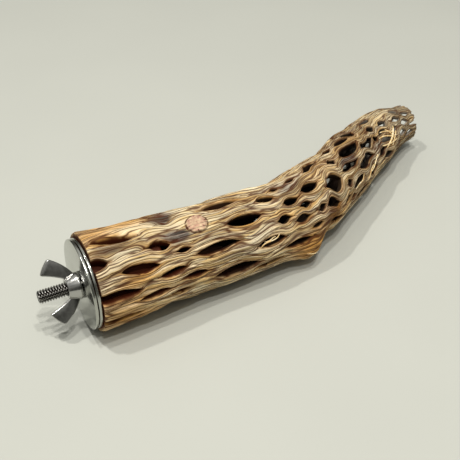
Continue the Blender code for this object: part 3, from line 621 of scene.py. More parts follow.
def lumps(along, round_):
    """How far the swellings and the scar's disc stand off the stem, in mm."""
    height = np.zeros_like(along)
    for *place, rise in LUMPS:
        height += rise * bell(along, round_, *place)
    return height + SCAR_HEIGHT * np.clip(SCAR_CROWN - SCAR_FALL * from_scar(along, round_), 0.0, 1.0)


def patches(table, along, round_):
    """How much a patch of another colour covers each point, from 0 to 1."""
    covered = np.zeros_like(along)
    for *place, amount in table:
        covered = np.maximum(covered, amount * bell(along, round_, *place, power=PATCH_EDGE))
    return np.minimum(covered, 1.0)


def rolled(along, round_, rise, depth):
    """Points of the stem in mm: rise stands off the outside, depth is 1 there and 0 in the bore."""
    centre, up, side = centre_line(along)
    turn = np.radians(round_)[..., None]
    outward = np.cos(turn) * up + np.sin(turn) * side
    outer = centre + (GIRTH(along) + lumps(along, round_) + rise)[..., None] * outward
    past = smooth((along - WOOD_END - PLUG_LENGTH - BORE_START) / BORE_FADE)
    middle = centre.copy()
    middle[..., 1:] *= past[..., None]
    inner = middle + BORE(along)[..., None] * outward
    point = inner + (outer - inner) * depth[..., None]
    point[..., 2] = np.maximum(point[..., 2], -AXIS_HEIGHT)
    return point


def on_cylinder(turn, along):
    """Fibre space in mm: a straight cylinder, so that the grain has no seam."""
    turn = np.radians(turn)
    return np.stack([GRAIN_RADIUS * np.cos(turn), GRAIN_RADIUS * np.sin(turn), along], axis=1)


def inner_box():
    """The solid's box about the bolt's axis in mm, a hair inside."""
    low, high = (np.array(corner - BOLT) / MM for corner in CAD_BOX)
    return low + BOX_HAIR, high - BOX_HAIR


# ---- openings ----
def strayed(opening, jitter, amounts):
    """An opening moved, stretched and leaned a little."""
    at, turn, half, width = opening
    at_by, turn_by, half_by, width_by, lean = (a * b for a, b in zip(amounts, jitter))
    return at + at_by, float(wrapped(turn + turn_by)), half * (1 + half_by), width * (1 + width_by), lean


def net_openings():
    """Openings of the side that the measured list leaves out, and of the tip."""
    rng = np.random.default_rng(NET_SEED)
    found = []
    for row, (at, half, width, count) in enumerate(NET_ROWS):
        for k in range(count):
            turn = NET_FIRST + (k - 0.5 * (row % 2)) * 360.0 / count
            if turn > NET_LAST:
                continue
            jitter = rng.uniform(-1.0, 1.0, 4)
            if (row, k) not in NET_SHUT:
                found.append(strayed((at, turn, half, width), jitter[[0, 1, 2, 3, 1]], NET_STRAY))
    for at, half, width, first in TIP_ROWS:
        for turn in np.arange(first, TIP_LAST, TIP_STEP):
            jitter = rng.uniform(-1.0, 1.0, 3)
            found.append(strayed((at, turn, half, width), jitter[[0, 1, 2, 2, 2]], TIP_STRAY))
    return found


def all_openings():
    """Every opening. Those of the thin end are worn a little wider at the surface, and those of the
    broken rim have their far half past the end."""
    seen = [
        (at, turn, half, width * (THIN_END_WIDER if at > THIN_END else 1.0), lean)
        for at, turn, half, width, lean in SEEN_OPENINGS
    ]
    notches = [(TIP, turn, TIP_NOTCH_DEPTH, TIP_NOTCH_HALF_WIDTH, 0.0) for turn in TIP_NOTCHES]
    return seen + net_openings() + notches


def stations():
    """How far along each row of the grid lies."""
    u = np.linspace(0.0, 1.0, ROWS)
    return WOOD_END + (TIP - WOOD_END) * (u * (1.0 + ROW_CLOSING) - ROW_CLOSING * u * u)


def slits(openings):
    """Each opening as (opening, column, first row, last row), all even, with its angle moved to
    its column. Rows run from -2, for one that the sawn end cuts, to past the last at the tip."""
    at_row = stations()
    step = 360.0 / COLUMNS
    taken = np.zeros((ROWS + 2, COLUMNS), bool)
    found = []
    for at, turn, half, width, lean in openings:
        first = int(np.searchsorted(at_row, at - half, side="right")) - 1
        last = int(np.searchsorted(at_row, at + half))
        first = -2 if at - half < WOOD_END else max(first - first % 2, 2)
        last = ROWS + 1 if at + half >= TIP else min(last + last % 2, ROWS - 3)
        wanted = 2 * round(((turn - SEAM) % 360.0) / step / 2.0)
        rows = slice(max(first, 0), last + 1)
        column = next(
            c % COLUMNS
            for c in (wanted, wanted + 2, wanted - 2, wanted + 4, wanted - 4)
            if not taken[rows, c % COLUMNS].any()
        )
        taken[rows, column] = True
        turn = float(wrapped(SEAM + column * step))
        found.append(((at, turn, half, width, lean), column, first, last))
    return found


def slit_rows(first, last):
    """The rows in which a slit is open."""
    return np.arange(max(first + 1, 0), min(last, ROWS))


def openness(along, at, half):
    """Place in an opening from -1 to 1 at its ends, and how wide it stands there as a share."""
    t = (along - at) / half
    return t, np.clip(1.0 - t * t, 0.0, None) ** OPENING_SHAPE


def fibre_round(along, fibre, found):
    """The angle at which a fibre runs at each station, pushed aside by the openings."""
    at_row = stations()
    pushed = np.array(fibre, float)
    for (at, turn, half, width, lean), _, first, last in found:
        t, open_ = openness(along, at, half)
        off = wrapped(fibre - turn)
        side = np.where(off < 0.0, -1.0, 1.0)
        fade = np.exp(-np.abs(off) / (FIBRE_REACH * width))
        pushed += side * width * open_ * fade
        pushed += lean * t * np.exp(-t * t) * np.exp(-((off / (LEAN_REACH * width)) ** 2))
        low = at_row[max(first, 0)] - (CRACK_RUN if first < 0 else 0.0)
        high = at_row[min(last, ROWS - 1)] + (CRACK_RUN if last >= ROWS else 0.0)
        crack = np.clip(np.minimum(along - low, high - along), 0.0, 1.0)
        pushed += side * CRACK_WIDTH * crack * np.exp(-np.abs(off) / CRACK_REACH)
    return pushed


# ---- the stem's skin ----
def cut_grid(found):
    """The sheet's points as row, column and side, and the point that faces on the left and on the
    right of each column use. Side is 0 on whole wood, and -1 or 1 on an opening's two edges."""
    right = np.arange(ROWS * COLUMNS).reshape(ROWS, COLUMNS)
    left = right.copy()
    row = [np.repeat(np.arange(ROWS), COLUMNS)]
    column = [np.tile(np.arange(COLUMNS), ROWS)]
    side = [np.zeros(ROWS * COLUMNS, int)]
    count = ROWS * COLUMNS
    for _, at, first, last in found:
        rows = slit_rows(first, last)
        left[rows, at] = count + np.arange(len(rows))
        side[0][right[rows, at]] = 1
        row.append(rows)
        column.append(np.full(len(rows), at))
        side.append(np.full(len(rows), -1))
        count += len(rows)
    return np.concatenate(row), np.concatenate(column), np.concatenate(side), left, right


def sheet_faces(left, right):
    """Four-sided faces between the points of neighbouring rows and columns."""
    near, far = right, np.roll(left, -1, axis=1)
    quads = np.stack([near[:-1], far[:-1], far[1:], near[1:]], axis=-1)
    return quads.reshape(-1, 4)


def border_loops(quads, count):
    """Directed loops of the edges that only one face uses."""
    edges = np.concatenate([quads[:, [k, (k + 1) % 4]] for k in range(4)])
    code, back = edges[:, 0] * count + edges[:, 1], edges[:, 1] * count + edges[:, 0]
    border = edges[~np.isin(code, back)]
    after = dict(zip(border[:, 0].tolist(), border[:, 1].tolist()))
    loops = []
    while after:
        first, at = next(iter(after.items()))
        del after[first]
        loop = [first]
        while at != first:
            loop.append(at)
            at = after.pop(at)
        loops.append(np.array(loop))
    return loops


def rim_rag(fibre):
    """How far the broken rim stands back at each fibre, in mm."""
    still = np.zeros_like(fibre)
    share = RIM_LEAST
    for amount, noise in RIM_NOISES:
        share = share + amount * fibre_noise(fibre, still, *noise)
    return RIM_RAG * np.clip(share, 0.0, 1.0)


class Grid:
    """The stem's outer sheet, cut open along every slit: where each point lies along the stem and
    round it, which fibre it is on, its faces, the loops round its openings and ends, and how far
    each point is from the nearest of them."""

    def __init__(self):
        self.found = slits(all_openings())
        self.row, self.column, self.side, self.left, self.right = cut_grid(self.found)
        self.count = len(self.row)
        self.fibre = SEAM + self.column * 360.0 / COLUMNS + HAIR * self.side
        along = stations()[self.row]
        self.along = along - rim_rag(self.fibre) * smooth((along - TIP + RIM_REACH) / RIM_REACH)
        self.round = fibre_round(self.along, self.fibre, self.found)
        self.faces = sheet_faces(self.left, self.right)
        self.loops = border_loops(self.faces, self.count)
        self.near = self.distance_to_edge()
        self.even = (self.row % 2 == 0) & (self.column % 2 == 0)

    def distance_to_edge(self):
        """Distance in mm to the nearest edge of an opening or of the rim, up to a reach."""
        flat = rolled(self.along, self.round, np.zeros(self.count), np.ones(self.count))
        border = np.concatenate(self.loops)
        edge = border[(self.row[border] != 0) | (self.side[border] != 0)]
        tree = KDTree(len(edge))
        for i, point in enumerate(flat[edge]):
            tree.insert(point, i)
        tree.balance()
        return np.array([min(tree.find(point)[2], EDGE_REACH) for point in flat])

    def gaps(self):
        """How far apart the two edges of an opening stand at each of their points, in degrees."""
        gap = np.zeros(self.count)
        for _, at, first, last in self.found:
            rows = slit_rows(first, last)
            pair = self.right[rows, at], self.left[rows, at]
            gap[pair[0]] = gap[pair[1]] = self.round[pair[0]] - self.round[pair[1]]
        return gap

    def grain(self):
        """The angle of each point's grain: its own angle with every opening closed up again."""
        at_row = stations()
        grain = np.array(self.round, float)
        for (at, turn, half, width, _), _, _, _ in self.found:
            _, open_ = openness(self.along, at, half)
            beside = np.flatnonzero(open_ > 0.0)
            rows = np.unique(self.row[beside])
            edges = [
                fibre_round(at_row[rows], np.full(len(rows), turn + s), self.found)
                for s in (-HAIR, HAIR)
            ]
            middle = np.interp(self.row[beside], rows, (edges[0] + edges[1]) / 2)
            off = wrapped(self.round[beside] - middle)
            wide = width * open_[beside]
            past = np.clip(np.abs(off) - wide, 0.0, None) / (HUG_REACH * width)
            grain[beside] -= np.sign(off) * np.minimum(wide, np.abs(off)) * np.exp(-past)
        return grain


def bundles(grid):
    """Two families of strands that drift apart between openings, as angles, and which lies on top:
    above 0 the first does."""
    along, grain = grid.along, grid.grain()
    free = DRIFT * (1.0 - np.exp(-grid.near / DRIFT_START))
    drifts = [fibre_noise(grain, along, *noise) for noise in DRIFTS]
    slant = grain + BUNDLE_LEAN * along + BUNDLE_STRAY * drifts[2]
    return grain + free * drifts[0], grain + free * drifts[1], np.sin(np.radians(BUNDLES * slant))


def ropes(noise):
    """Rounded ropes with a sharp crease wherever the noise changes sign. Mean near 0."""
    return np.abs(noise) ** CREASE_SHARPNESS - CREASE_MIDDLE


def creased(noise, sharpness):
    """1 in the crease where the noise changes sign, and 0 away from it."""
    return np.clip(1.0 - sharpness * np.abs(noise), 0.0, 1.0)


def grooves(grid):
    """How much of a groove runs at each point: an opening's two ends run on in one."""
    groove = np.zeros(grid.count)
    for (at, turn, half, _, _), _, _, _ in grid.found:
        past = np.abs(grid.along - at) - half
        away = np.radians(wrapped(grid.fibre - turn)) * GIRTH(grid.along)
        run = np.exp(-np.clip(past, 0.0, None) / GROOVE_RUN) * (past > -GROOVE_START)
        groove = np.maximum(groove, run * np.exp(-((away / GROOVE_WIDTH) ** 2)))
    return groove


def skin_relief(grid, families, sizes):
    """Rise of the bark-side surface in mm, and how deep each point lies in a crease (0 to 1), which
    the finish darkens as painted shade.
    """
    along = grid.along
    first, second, over = families
    top = np.where(over > 0.0, first, second + 180.0)
    strands, ridges = (fibre_noise(top, along, *noise) for noise in (STRANDS, RIDGES))
    swells = fibre_noise(grid.round, along, *SWELLS)
    taper = np.sqrt(GIRTH(along) / STEM[0][3])
    rise = (sizes.strand_depth * ropes(strands) + sizes.ridge_depth * ropes(ridges)) / MM
    rise = rise * taper + SWELL_DEPTH * (swells - SWELL_MIDDLE) * taper
    step = np.clip(BUNDLE_STEP * np.abs(over), 0.0, 1.0)
    rise += BUNDLE_DEPTH * (step - BUNDLE_MIDDLE) * taper
    rise *= smooth((along - WOOD_END + SAWN_START) / SAWN_FADE)
    groove = grooves(grid)
    rise -= sizes.groove_depth / MM * groove * taper
    scar = from_scar(along, grid.round)
    rise *= smooth((scar - SCAR_BARE) / SCAR_BARE_FADE)
    rise -= SCAR_GROOVE * np.exp(-(((scar - SCAR_GROOVE_AT) / SCAR_GROOVE_WIDTH) ** 2))
    # How much painted shade each point gets: the creases of strands, ridges and bundles, and the grooves
    depth = np.maximum(creased(strands, STRAND_DARK), creased(ridges, RIDGE_DARK) * RIDGE_SHADE)
    depth = np.maximum(depth, creased(over, BUNDLE_DARK))
    return rise, np.maximum(depth, groove)


def edge_relief(grid, rise, sizes):
    """The relief with its edges worn: flatter and rolled inward at an opening, a little proud
    beside it, and rounded at the sawn end."""
    near = grid.near
    thin = np.clip((GIRTH(grid.along) - BORE(grid.along)) / THICK_WALL, THIN_WALL_LEAST, 1.0)
    lip = np.clip(1.0 - near * MM / sizes.lip_radius, 0.0, 1.0)
    drop = sizes.lip_depth / MM * rounding(lip) * thin
    swell = EDGE_SWELL * np.exp(-(((near - EDGE_SWELL_AT) / EDGE_SWELL_WIDTH) ** 2)) * thin
    sawn = np.clip(1.0 - (grid.along - WOOD_END) / SAWN_REACH, 0.0, 1.0)
    fade = np.clip(near / EDGE_FADE, EDGE_LEAST, 1.0)
    return rise * fade - drop + swell - SAWN_ROUNDING * rounding(sawn)


def wall_rings(grid, rise, families):
    """Rings of points from each loop of the skin's edge through the wall, with the faces between
    them and the triangles that join the last ring to the bore's sheet, whose points are every
    second one of the grid's."""
    first, second, over = families
    gap = grid.gaps()
    inner_of = np.full(grid.count, -1)
    ring_total = len(WALL_RINGS) * sum(len(loop) for loop in grid.loops)
    inner_of[grid.even] = grid.count + ring_total + np.arange(grid.even.sum())
    points, marks, faces, triangles = [], [], [], []
    start = grid.count
    for loop in grid.loops:
        if not grid.even[loop[0]]:
            loop = np.roll(loop, -1)
        before, along = loop, grid.along[loop]
        for through, bulge in WALL_RINGS:
            angle = np.degrees(bulge / GIRTH(along))
            turn = grid.round[loop] - grid.side[loop] * np.minimum(angle, BULGE_SHARE * gap[loop])
            depth = np.full(len(loop), through)
            points.append(rolled(along, turn, rise[loop], depth))
            # The ring's painted shade
            shade = np.full(len(loop), RING_SHADE)
            still = np.zeros(len(loop))
            marks.append((along, turn, first[loop], second[loop], over[loop], still, shade, depth))
            ring = start + np.arange(len(loop))
            start += len(loop)
            faces.append(np.stack([np.roll(before, -1), before, ring, np.roll(ring, -1)], axis=1))
            before = ring
        low, mid, high = before[0::2], before[1::2], np.roll(before, -2)[0::2]
        inner, inner_next = inner_of[loop[0::2]], inner_of[np.roll(loop, -2)[0::2]]
        triangles.append(np.stack([mid, low, inner], axis=1))
        triangles.append(np.stack([mid, inner, inner_next], axis=1))
        triangles.append(np.stack([high, mid, inner_next], axis=1))
    inner_faces = sheet_faces(grid.left[0::2, 0::2], grid.right[0::2, 0::2])
    faces.append(inner_of[inner_faces][:, ::-1])
    return points, marks, faces, triangles


def bore_sheet(grid, over):
    """Points of the bore, rough past the plug, and their marks."""
    even = grid.even
    along, round_, fibre, near = grid.along[even], grid.round[even], grid.fibre[even], grid.near[even]
    rough = fibre_noise(grid.fibre, grid.along, *BORE_NOISE)[even]
    inward = BORE_IN + BORE_ROUGH * rough + BORE_LIP * np.exp(-near / BORE_LIP_REACH)
    inward[grid.row[even] == 0] = 0.0
    inward *= smooth((along - WOOD_END - PLUG_LENGTH - BORE_ROUGH_START) / BORE_ROUGH_FADE)
    none = np.zeros(even.sum())
    # The bore's painted shade, varied by the same noise as its roughness
    shade = np.clip(BORE_SHADE - rough, 0.0, 1.0)
    marks = (along, round_, fibre, fibre, over[even], near, shade, none)
    return rolled(along, round_, none, inward), marks


def store_marks(mesh, marks):
    """Stores what the finish reads at each point."""
    along, round_, first, second, over, near, shade, depth = (np.concatenate(m) for m in zip(*marks))
    skin = depth == 1.0
    stored = {
        "grain": on_cylinder(first, along),
        "crossing_grain": on_cylinder(second + 180.0, along),
        # Painted shade of the creases, of the walls of openings and of the bore
        "over": over,
        "crease": shade,
        "grey": patches(GREY_PATCHES, along, round_) * skin,
        "honey": patches(HONEY_PATCHES, along, round_),
        "hollow": np.where(skin, np.exp(-near / HOLLOW_REACH), 1.0),
        "inside": 1.0 - depth,
        "along": along,
        "scar": np.where(skin, np.clip(from_scar(along, round_), 0.0, SCAR_LIMIT), SCAR_LIMIT),
    }
    for name, values in stored.items():
        kind, key = ("FLOAT_VECTOR", "vector") if values.ndim == 2 else ("FLOAT", "value")
        layer = mesh.attributes.new(name, kind, "POINT")
        layer.data.foreach_set(key, values.astype(np.float32).ravel())


def wood_mesh(sizes):
    """The whole skeleton as one closed surface: skin, rounded edges, walls and bore."""
    grid = Grid()
    families = bundles(grid)
    rise, shade = skin_relief(grid, families, sizes)
    rise = edge_relief(grid, rise, sizes)
    whole = np.ones(grid.count)
    skin = rolled(grid.along, grid.round, rise, whole)
    skin_marks = (grid.along, grid.round, *families, grid.near, shade, whole)
    ring_points, ring_marks, faces, triangles = wall_rings(grid, rise, families)
    bore, bore_marks = bore_sheet(grid, families[2])
    points = np.clip(np.concatenate([skin, *ring_points, bore]), *inner_box())
    polygons = np.concatenate([grid.faces, *faces]).tolist() + np.concatenate(triangles).tolist()
    mesh = bpy.data.meshes.new("weathered_stem")
    mesh.from_pydata(points.tolist(), [], polygons)
    mesh.validate()
    store_marks(mesh, [skin_marks, *ring_marks, bore_marks])
    return smoothed(mesh, WOOD_SHARP)


# ---- finishes ----
def finish(name, look, *values):
    """A material whose shader has the inputs that look returns. Look gets a function that adds a
    node, the place on the piece, and these values."""
    made = bpy.data.materials.new(name)
    made.use_nodes = True
    tree = made.node_tree
    tree.nodes.clear()
    add = partial(node, tree)
    place = add("ShaderNodeTexCoord").outputs["Object"]
    shader = add("ShaderNodeBsdfPrincipled", look(add, place, *values))
    add("ShaderNodeOutputMaterial", {"Surface": shader})
    return made


def fibre_space(add):
    """The grain's own space in mm, that of whichever bundle lies on top, bent a little so that no
    line runs quite straight."""
    grain, crossing = (
        add("ShaderNodeAttribute", attribute_name=key).outputs["Vector"]
        for key in ("grain", "crossing_grain")
    )
    over = add("ShaderNodeAttribute", attribute_name="over").outputs["Fac"]
    first = add("ShaderNodeMath", {0: over, 1: 0.0}, operation="GREATER_THAN")
    top = add("ShaderNodeMix", {0: first, 4: crossing, 5: grain}, data_type="VECTOR")
    cells = add("ShaderNodeVectorMath", {0: top, 1: SWAY_CELLS}, operation="MULTIPLY")
    sway = add("ShaderNodeTexNoise", {"Vector": cells, "Scale": 1.0, "Detail": 1.0}).outputs["Color"]
    return add("ShaderNodeVectorMath", {0: sway, 1: SWAY, 2: top}, operation="MULTIPLY_ADD")


def weathered_wood(add, place, settings):
    """Dry cactus wood: dull long fibres, golden where sheltered and grey where it has weathered.
    The eye reads it by fine dark lines that follow the strands round every opening. Shade is
    painted into its creases and the walls of its openings, and the bore is painted dark as shade."""
    crease, grey, honey, hollow, inside, along, scar = (
        add("ShaderNodeAttribute", attribute_name=key).outputs["Fac"]
        for key in ("crease", "grey", "honey", "hollow", "inside", "along", "scar")
    )
    space = fibre_space(add)

    # Long cells side by side: how far each point is from the nearest line between two fibres.
    lines = []
    for across, run in FIBRE_SIZES:
        scale = (1.0 / across, 1.0 / across, 1.0 / run)
        cells = add("ShaderNodeVectorMath", {0: space, 1: scale}, operation="MULTIPLY")
        lines.append(
            add("ShaderNodeTexVoronoi", {"Vector": cells, "Scale": 1.0}, feature="DISTANCE_TO_EDGE")
        )
    coarse, fine = lines
    cells = add("ShaderNodeVectorMath", {0: space, 1: FIBRE_TINTS}, operation="MULTIPLY")
    tint, blotch, pits = (
        add("ShaderNodeTexNoise", {"Vector": at, "Scale": scale, "Detail": detail, "Roughness": rough})
        for at, scale, detail, rough in (
            (cells, 1.0, 4.0, 0.62),
            (place, BLOTCHES, 3.0, 0.5),
            (place, PITS, 2.0, 0.5),
        )
    )
    share = add("ShaderNodeMath", {0: along, 1: 1.0 / TIP}, operation="MULTIPLY")

    # Tints of the fibre, dry and weathered, of the scar's pith with its pits, and of the bore, whose
    # painted shade is reddish by the washers and nearly black past them, and grey by the tip.
    fibre, greyed, pith, bore = (
        add("ShaderNodeValToRGB", {"Fac": source}, [(at, getattr(settings, key)) for at, key in stops])
        for source, *stops in (
            (tint, (0.30, "brown"), (0.42, "golden"), (0.52, "tan"), (0.66, "pale")),
            (tint, (0.48, "dark_grey"), (0.62, "grey"), (0.82, "tan")),
            (pits, (0.29, "red"), (0.37, "pith"), (0.85, "tan")),
            (share, (0.14, "red"), (0.34, "dark"), (0.80, "dark"), (0.95, "grey")),
        )
    )
    # How much there is of each thing: what it comes from, from where to where, and its two shares.
    weather, thin, wide_line, thin_line, disc, ragged, tip, deep = (
        add("ShaderNodeMapRange", dict(enumerate(row)))
        for row in (
            (blotch, 0.56, 0.72, 0.0, 0.35),
            (along, 125.0, 165.0, 0.0, 0.65),
            (coarse, 0.03, 0.13, 0.12, 1.0),
            (fine, 0.0, 0.12, 0.72, 1.0),
            (scar, 0.90, 1.0, 1.0, 0.0),
            (pits, 0.42, 0.60, 0.95, 0.45),
            (along, 208.0, 232.0, 0.0, 0.5),
            # deep: the bore's painted shade covers the walls of openings and the bore
            (inside, 0.0, 0.22, 0.0, 0.97),
        )
    )
    height = add("ShaderNodeMapRange", {0: coarse, 2: 0.32}, interpolation_type="SMOOTHSTEP")
    weather, warm, lit, sunk, rim, tip, height = (
        add("ShaderNodeMath", dict(enumerate(row)), operation=operation)
        for operation, *row in (
            ("MAXIMUM", weather, grey),
            ("MULTIPLY", hollow, 0.6),
            ("MULTIPLY", wide_line, thin_line),
            # sunk: the painted crease shade darkens the wood by up to 0.42
            ("MULTIPLY_ADD", crease, -0.42, 1.0),
            ("COMPARE", scar, 1.06, 0.09),
            ("MULTIPLY", tip, blotch),
            ("MULTIPLY_ADD", fine, FINE_BUMP, height),
        )
    )
    lit, rim, height = (
        add("ShaderNodeMath", dict(enumerate(row)), operation=operation)
        for operation, *row in (
            ("MULTIPLY", lit, sunk),
            ("MULTIPLY", rim, ragged),
            ("MULTIPLY_ADD", tint, TINT_BUMP, height),
        )
    )
    # Towards the thin end the colour at an opening's edge turns from the hollow's toward the crease
    # shade's colour
    edge = add("ShaderNodeMix", {0: thin, 6: settings.hollow, 7: settings.crease}, data_type="RGBA")

    # One tint over the other. For the dark lines between fibres and the painted shade in creases it is
    # the tint below that is given, since the share that goes with it is how much of the wood above is
    # lit.
    mixed = fibre
    for cover, below, above in (
        (weather, None, greyed),
        (honey, None, settings.honey),
        (warm, None, edge),
        (lit, settings.crease, None),
        (disc, None, pith),
        (rim, None, settings.red),
        (tip, None, settings.dark_grey),
        (deep, None, bore),
    ):
        layer = {0: cover, 6: below or mixed, 7: above or mixed}
        mixed = add("ShaderNodeMix", layer, data_type="RGBA")
    bump = add("ShaderNodeBump", {"Height": height, "Distance": FIBRE_BUMP, "Strength": 0.9})
    return {"Base Color": mixed, "Roughness": 0.75, "Specular IOR Level": 0.15, "Normal": bump}


def dry_fibre(add, place, settings):
    """Single bleached fibres, pale and dull with darker flecks."""
    flecks = add("ShaderNodeTexNoise", {"Vector": place, "Scale": FLECKS, "Detail": 2.0})
    stops = ((0.34, settings.brown), (0.48, settings.golden), (0.66, settings.pale))
    tint = add("ShaderNodeValToRGB", {"Fac": flecks}, stops)
    return {"Base Color": tint, "Roughness": 0.75}


def turned_wood(add, place, settings):
    """A bare turned dowel, close grained, stained reddish brown and painted darker for the shade inside
    the stem.
    """
    cells = add("ShaderNodeVectorMath", {0: place, 1: PORES}, operation="MULTIPLY")
    pores = add("ShaderNodeTexNoise", {"Vector": cells, "Scale": 1.0, "Detail": 4.0})
    stops = ((0.35, settings.red), (0.65, settings.plug))
    tint = add("ShaderNodeValToRGB", {"Fac": pores}, stops)
    bump = add("ShaderNodeBump", {"Height": pores, "Distance": PORE_BUMP, "Strength": 0.5})
    return {"Base Color": tint, "Roughness": 0.6, "Specular IOR Level": 0.15, "Normal": bump}


def bright_steel(add, place, tint, roughness, scratches, groove_tint=None):
    """Bright steel: mirror-like with faint handling scratches that blur it here and there. Shade is
    painted into the bottom of a thread, darkening it."""
    wear = {"Vector": place, "Scale": scratches, "Detail": 4.0, "Roughness": 0.65}
    fine = add("ShaderNodeTexNoise", wear)
    smoothest, roughest = (roughness * share for share in SCRATCH_BLUR)
    gloss = add("ShaderNodeMapRange", {0: fine, 1: 0.3, 2: 0.7, 3: smoothest, 4: roughest})
    bump = add("ShaderNodeBump", {"Height": fine, "Distance": SCRATCH_BUMP, "Strength": 0.25})
    if groove_tint is not None:
        # Painted shade at the bottom of the thread, deepest at its root
        groove = add("ShaderNodeAttribute", attribute_name="groove").outputs["Fac"]
        dirt = add("ShaderNodeMapRange", {0: groove, 1: 0.08, 2: 0.5})
        tint = add("ShaderNodeMix", {0: dirt, 6: tint, 7: groove_tint}, data_type="RGBA")
    return {"Base Color": tint, "Metallic": 1.0, "Roughness": gloss, "Normal": bump}


def pale_paper(add, place, tint):
    """A matt pale sweep of paper with hardly any texture, so that shadows alone draw it."""
    mottle = add("ShaderNodeTexNoise", {"Vector": place, "Scale": MOTTLE, "Detail": 2.0})
    bright = add("ShaderNodeMapRange", {0: mottle, 3: 0.96, 4: 1.03})
    tinted = add("ShaderNodeVectorMath", {0: tint[:3], 3: bright}, operation="SCALE")
    return {"Base Color": tinted, "Roughness": 0.85}


# ---- geometry nodes ----
def new_shape(name, inputs):
    """An empty geometry node tree with these inputs: name, kind and default."""
    tree = bpy.data.node_groups.new(name, "GeometryNodeTree")
    tree.interface.new_socket("Geometry", in_out="OUTPUT", socket_type="NodeSocketGeometry")
    for key, kind, default in inputs:
        socket = tree.interface.new_socket(key, in_out="INPUT", socket_type="NodeSocket" + kind)
        if default is not None:
            socket.default_value = default
    return tree


def grown(name, tree, values, source=None):
    """The plain mesh that a geometry nodes tree makes, with its inputs set by their identifiers."""
    holder = linked(name, source or bpy.data.meshes.new(name))
    modifier = holder.modifiers.new(name, "NODES")
    modifier.node_group = tree
    sockets = {s.name: s.identifier for s in tree.interface.items_tree if s.in_out == "INPUT"}
    for key, value in values.items():
        modifier[sockets[key]] = value
    holder.update_tag()
    graph = bpy.context.evaluated_depsgraph_get()
    graph.update()
    made = bpy.data.meshes.new_from_object(holder.evaluated_get(graph))
    holder.modifiers.clear()
    bpy.data.objects.remove(holder, do_unlink=True)
    if not made.polygons:
        raise RuntimeError(f"{name}: the node tree made nothing")
    return made


# ---- loose fibres ----
def fibre_paths():
    """Polylines of the loose fibres in mm, as a mesh whose points hold each one's thickness."""
    rng = np.random.default_rng(FIBRE_SEED)
    low, high = inner_box()
    points, edges, radii = [], [], []
    t = np.linspace(0.0, 1.0, FIBRE_STEPS)
    for s0, turn0, s1, turn1, lift, radius in LOOSE_FIBRES:
        wobble = rng.uniform(-1.0, 1.0, (2, 2))
        sway = [a * np.sin(math.pi * t) + b * np.sin(2.0 * math.pi * t) for a, b in wobble]
        along = s0 + (s1 - s0) * t + FIBRE_SWAY[0] * sway[0]
        round_ = turn0 + (turn1 - turn0) * t + FIBRE_SWAY[1] * sway[1]
        arch = lift * np.sin(math.pi * t) ** FIBRE_ARCH - FIBRE_ROOT
        start = len(points)
        path = rolled(along, round_, arch, np.ones(FIBRE_STEPS))
        points += np.clip(path, low + FIBRE_INSIDE, high - FIBRE_INSIDE).tolist()
        edges += [(start + k, start + k + 1) for k in range(FIBRE_STEPS - 1)]
        radii += (radius * (1.0 - FIBRE_TAPER * np.abs(2.0 * t - 1.0) ** FIBRE_TAPER_POWER)).tolist()
    mesh = bpy.data.meshes.new("fibre_paths")
    mesh.from_pydata(points, edges, [])
    mesh.attributes.new("thickness", "FLOAT", "POINT").data.foreach_set("value", radii)
    return mesh


def fibre_tree():
    """Rounds a network of edges into thin fibres whose thickness comes from their points."""
    inputs = (("Geometry", "Geometry", None), ("Sides", "Int", FIBRE_SIDES), ("Finish", "Material", None))
    tree = new_shape("loose_fibres", inputs)
    add = partial(node, tree)
    given = add("NodeGroupInput").outputs
    thickness = add("GeometryNodeInputNamedAttribute", {"Name": "thickness"}, data_type="FLOAT")
    curve = add("GeometryNodeMeshToCurve", {0: given["Geometry"]})
    profile = add("GeometryNodeCurvePrimitiveCircle", {"Resolution": given["Sides"], "Radius": 1.0})
    parts = {"Curve": curve, "Profile Curve": profile, "Scale": thickness, "Fill Caps": True}
    tube = add("GeometryNodeCurveToMesh", parts)
    soft = add("GeometryNodeSetShadeSmooth", {"Geometry": tube})
    whole = add("GeometryNodeRealizeInstances", {"Geometry": soft})
    done = add("GeometryNodeSetMaterial", {"Geometry": whole, "Material": given["Finish"]})
    add("NodeGroupOutput", {"Geometry": done})
    return tree


# ---- hardware ----
def lathe(name, profile, sides, closed=True):
    """A mesh of revolution about X from (x, radius) pairs in mm, listed anticlockwise."""
    bm = bmesh.new()
    rings = []
    for x, radius in profile:
        if radius < NOTHING:
            rings.append([bm.verts.new((x, 0.0, 0.0))] * sides)
            continue
        turn = [2.0 * math.pi * k / sides for k in range(sides)]
        rings.append([bm.verts.new((x, radius * math.cos(a), radius * math.sin(a))) for a in turn])
    for here, there in zip(rings, rings[1:] + rings[:1] if closed else rings[1:]):
        for k in range(sides):
            corners = (here[k], here[k - 1], there[k - 1], there[k])
            bm.faces.new(dict.fromkeys(corners))
    bmesh.ops.recalc_face_normals(bm, faces=bm.faces)
    return smoothed(mesh_from(name, bm), TURNED_SHARP)


def rounded(corners, radius, steps):
    """A closed profile with each corner rounded to the given radius in mm."""
    points = []
    for k, corner in enumerate(corners):
        here = Vector(corner)
        before = (Vector(corners[k - 1]) - here).normalized()
        after = (Vector(corners[(k + 1) % len(corners)]) - here).normalized()
        half = before.angle(after) / 2
        middle = here + (before + after).normalized() * radius / math.sin(half)
        start = here + before * radius / math.tan(half)
        sweep = (start - middle).angle_signed(here + after * radius / math.tan(half) - middle)
        for j in range(steps + 1):
            spoke = start - middle
            spoke.rotate(Matrix.Rotation(-sweep * j / steps, 2))
            points.append(tuple(middle + spoke))
    return points


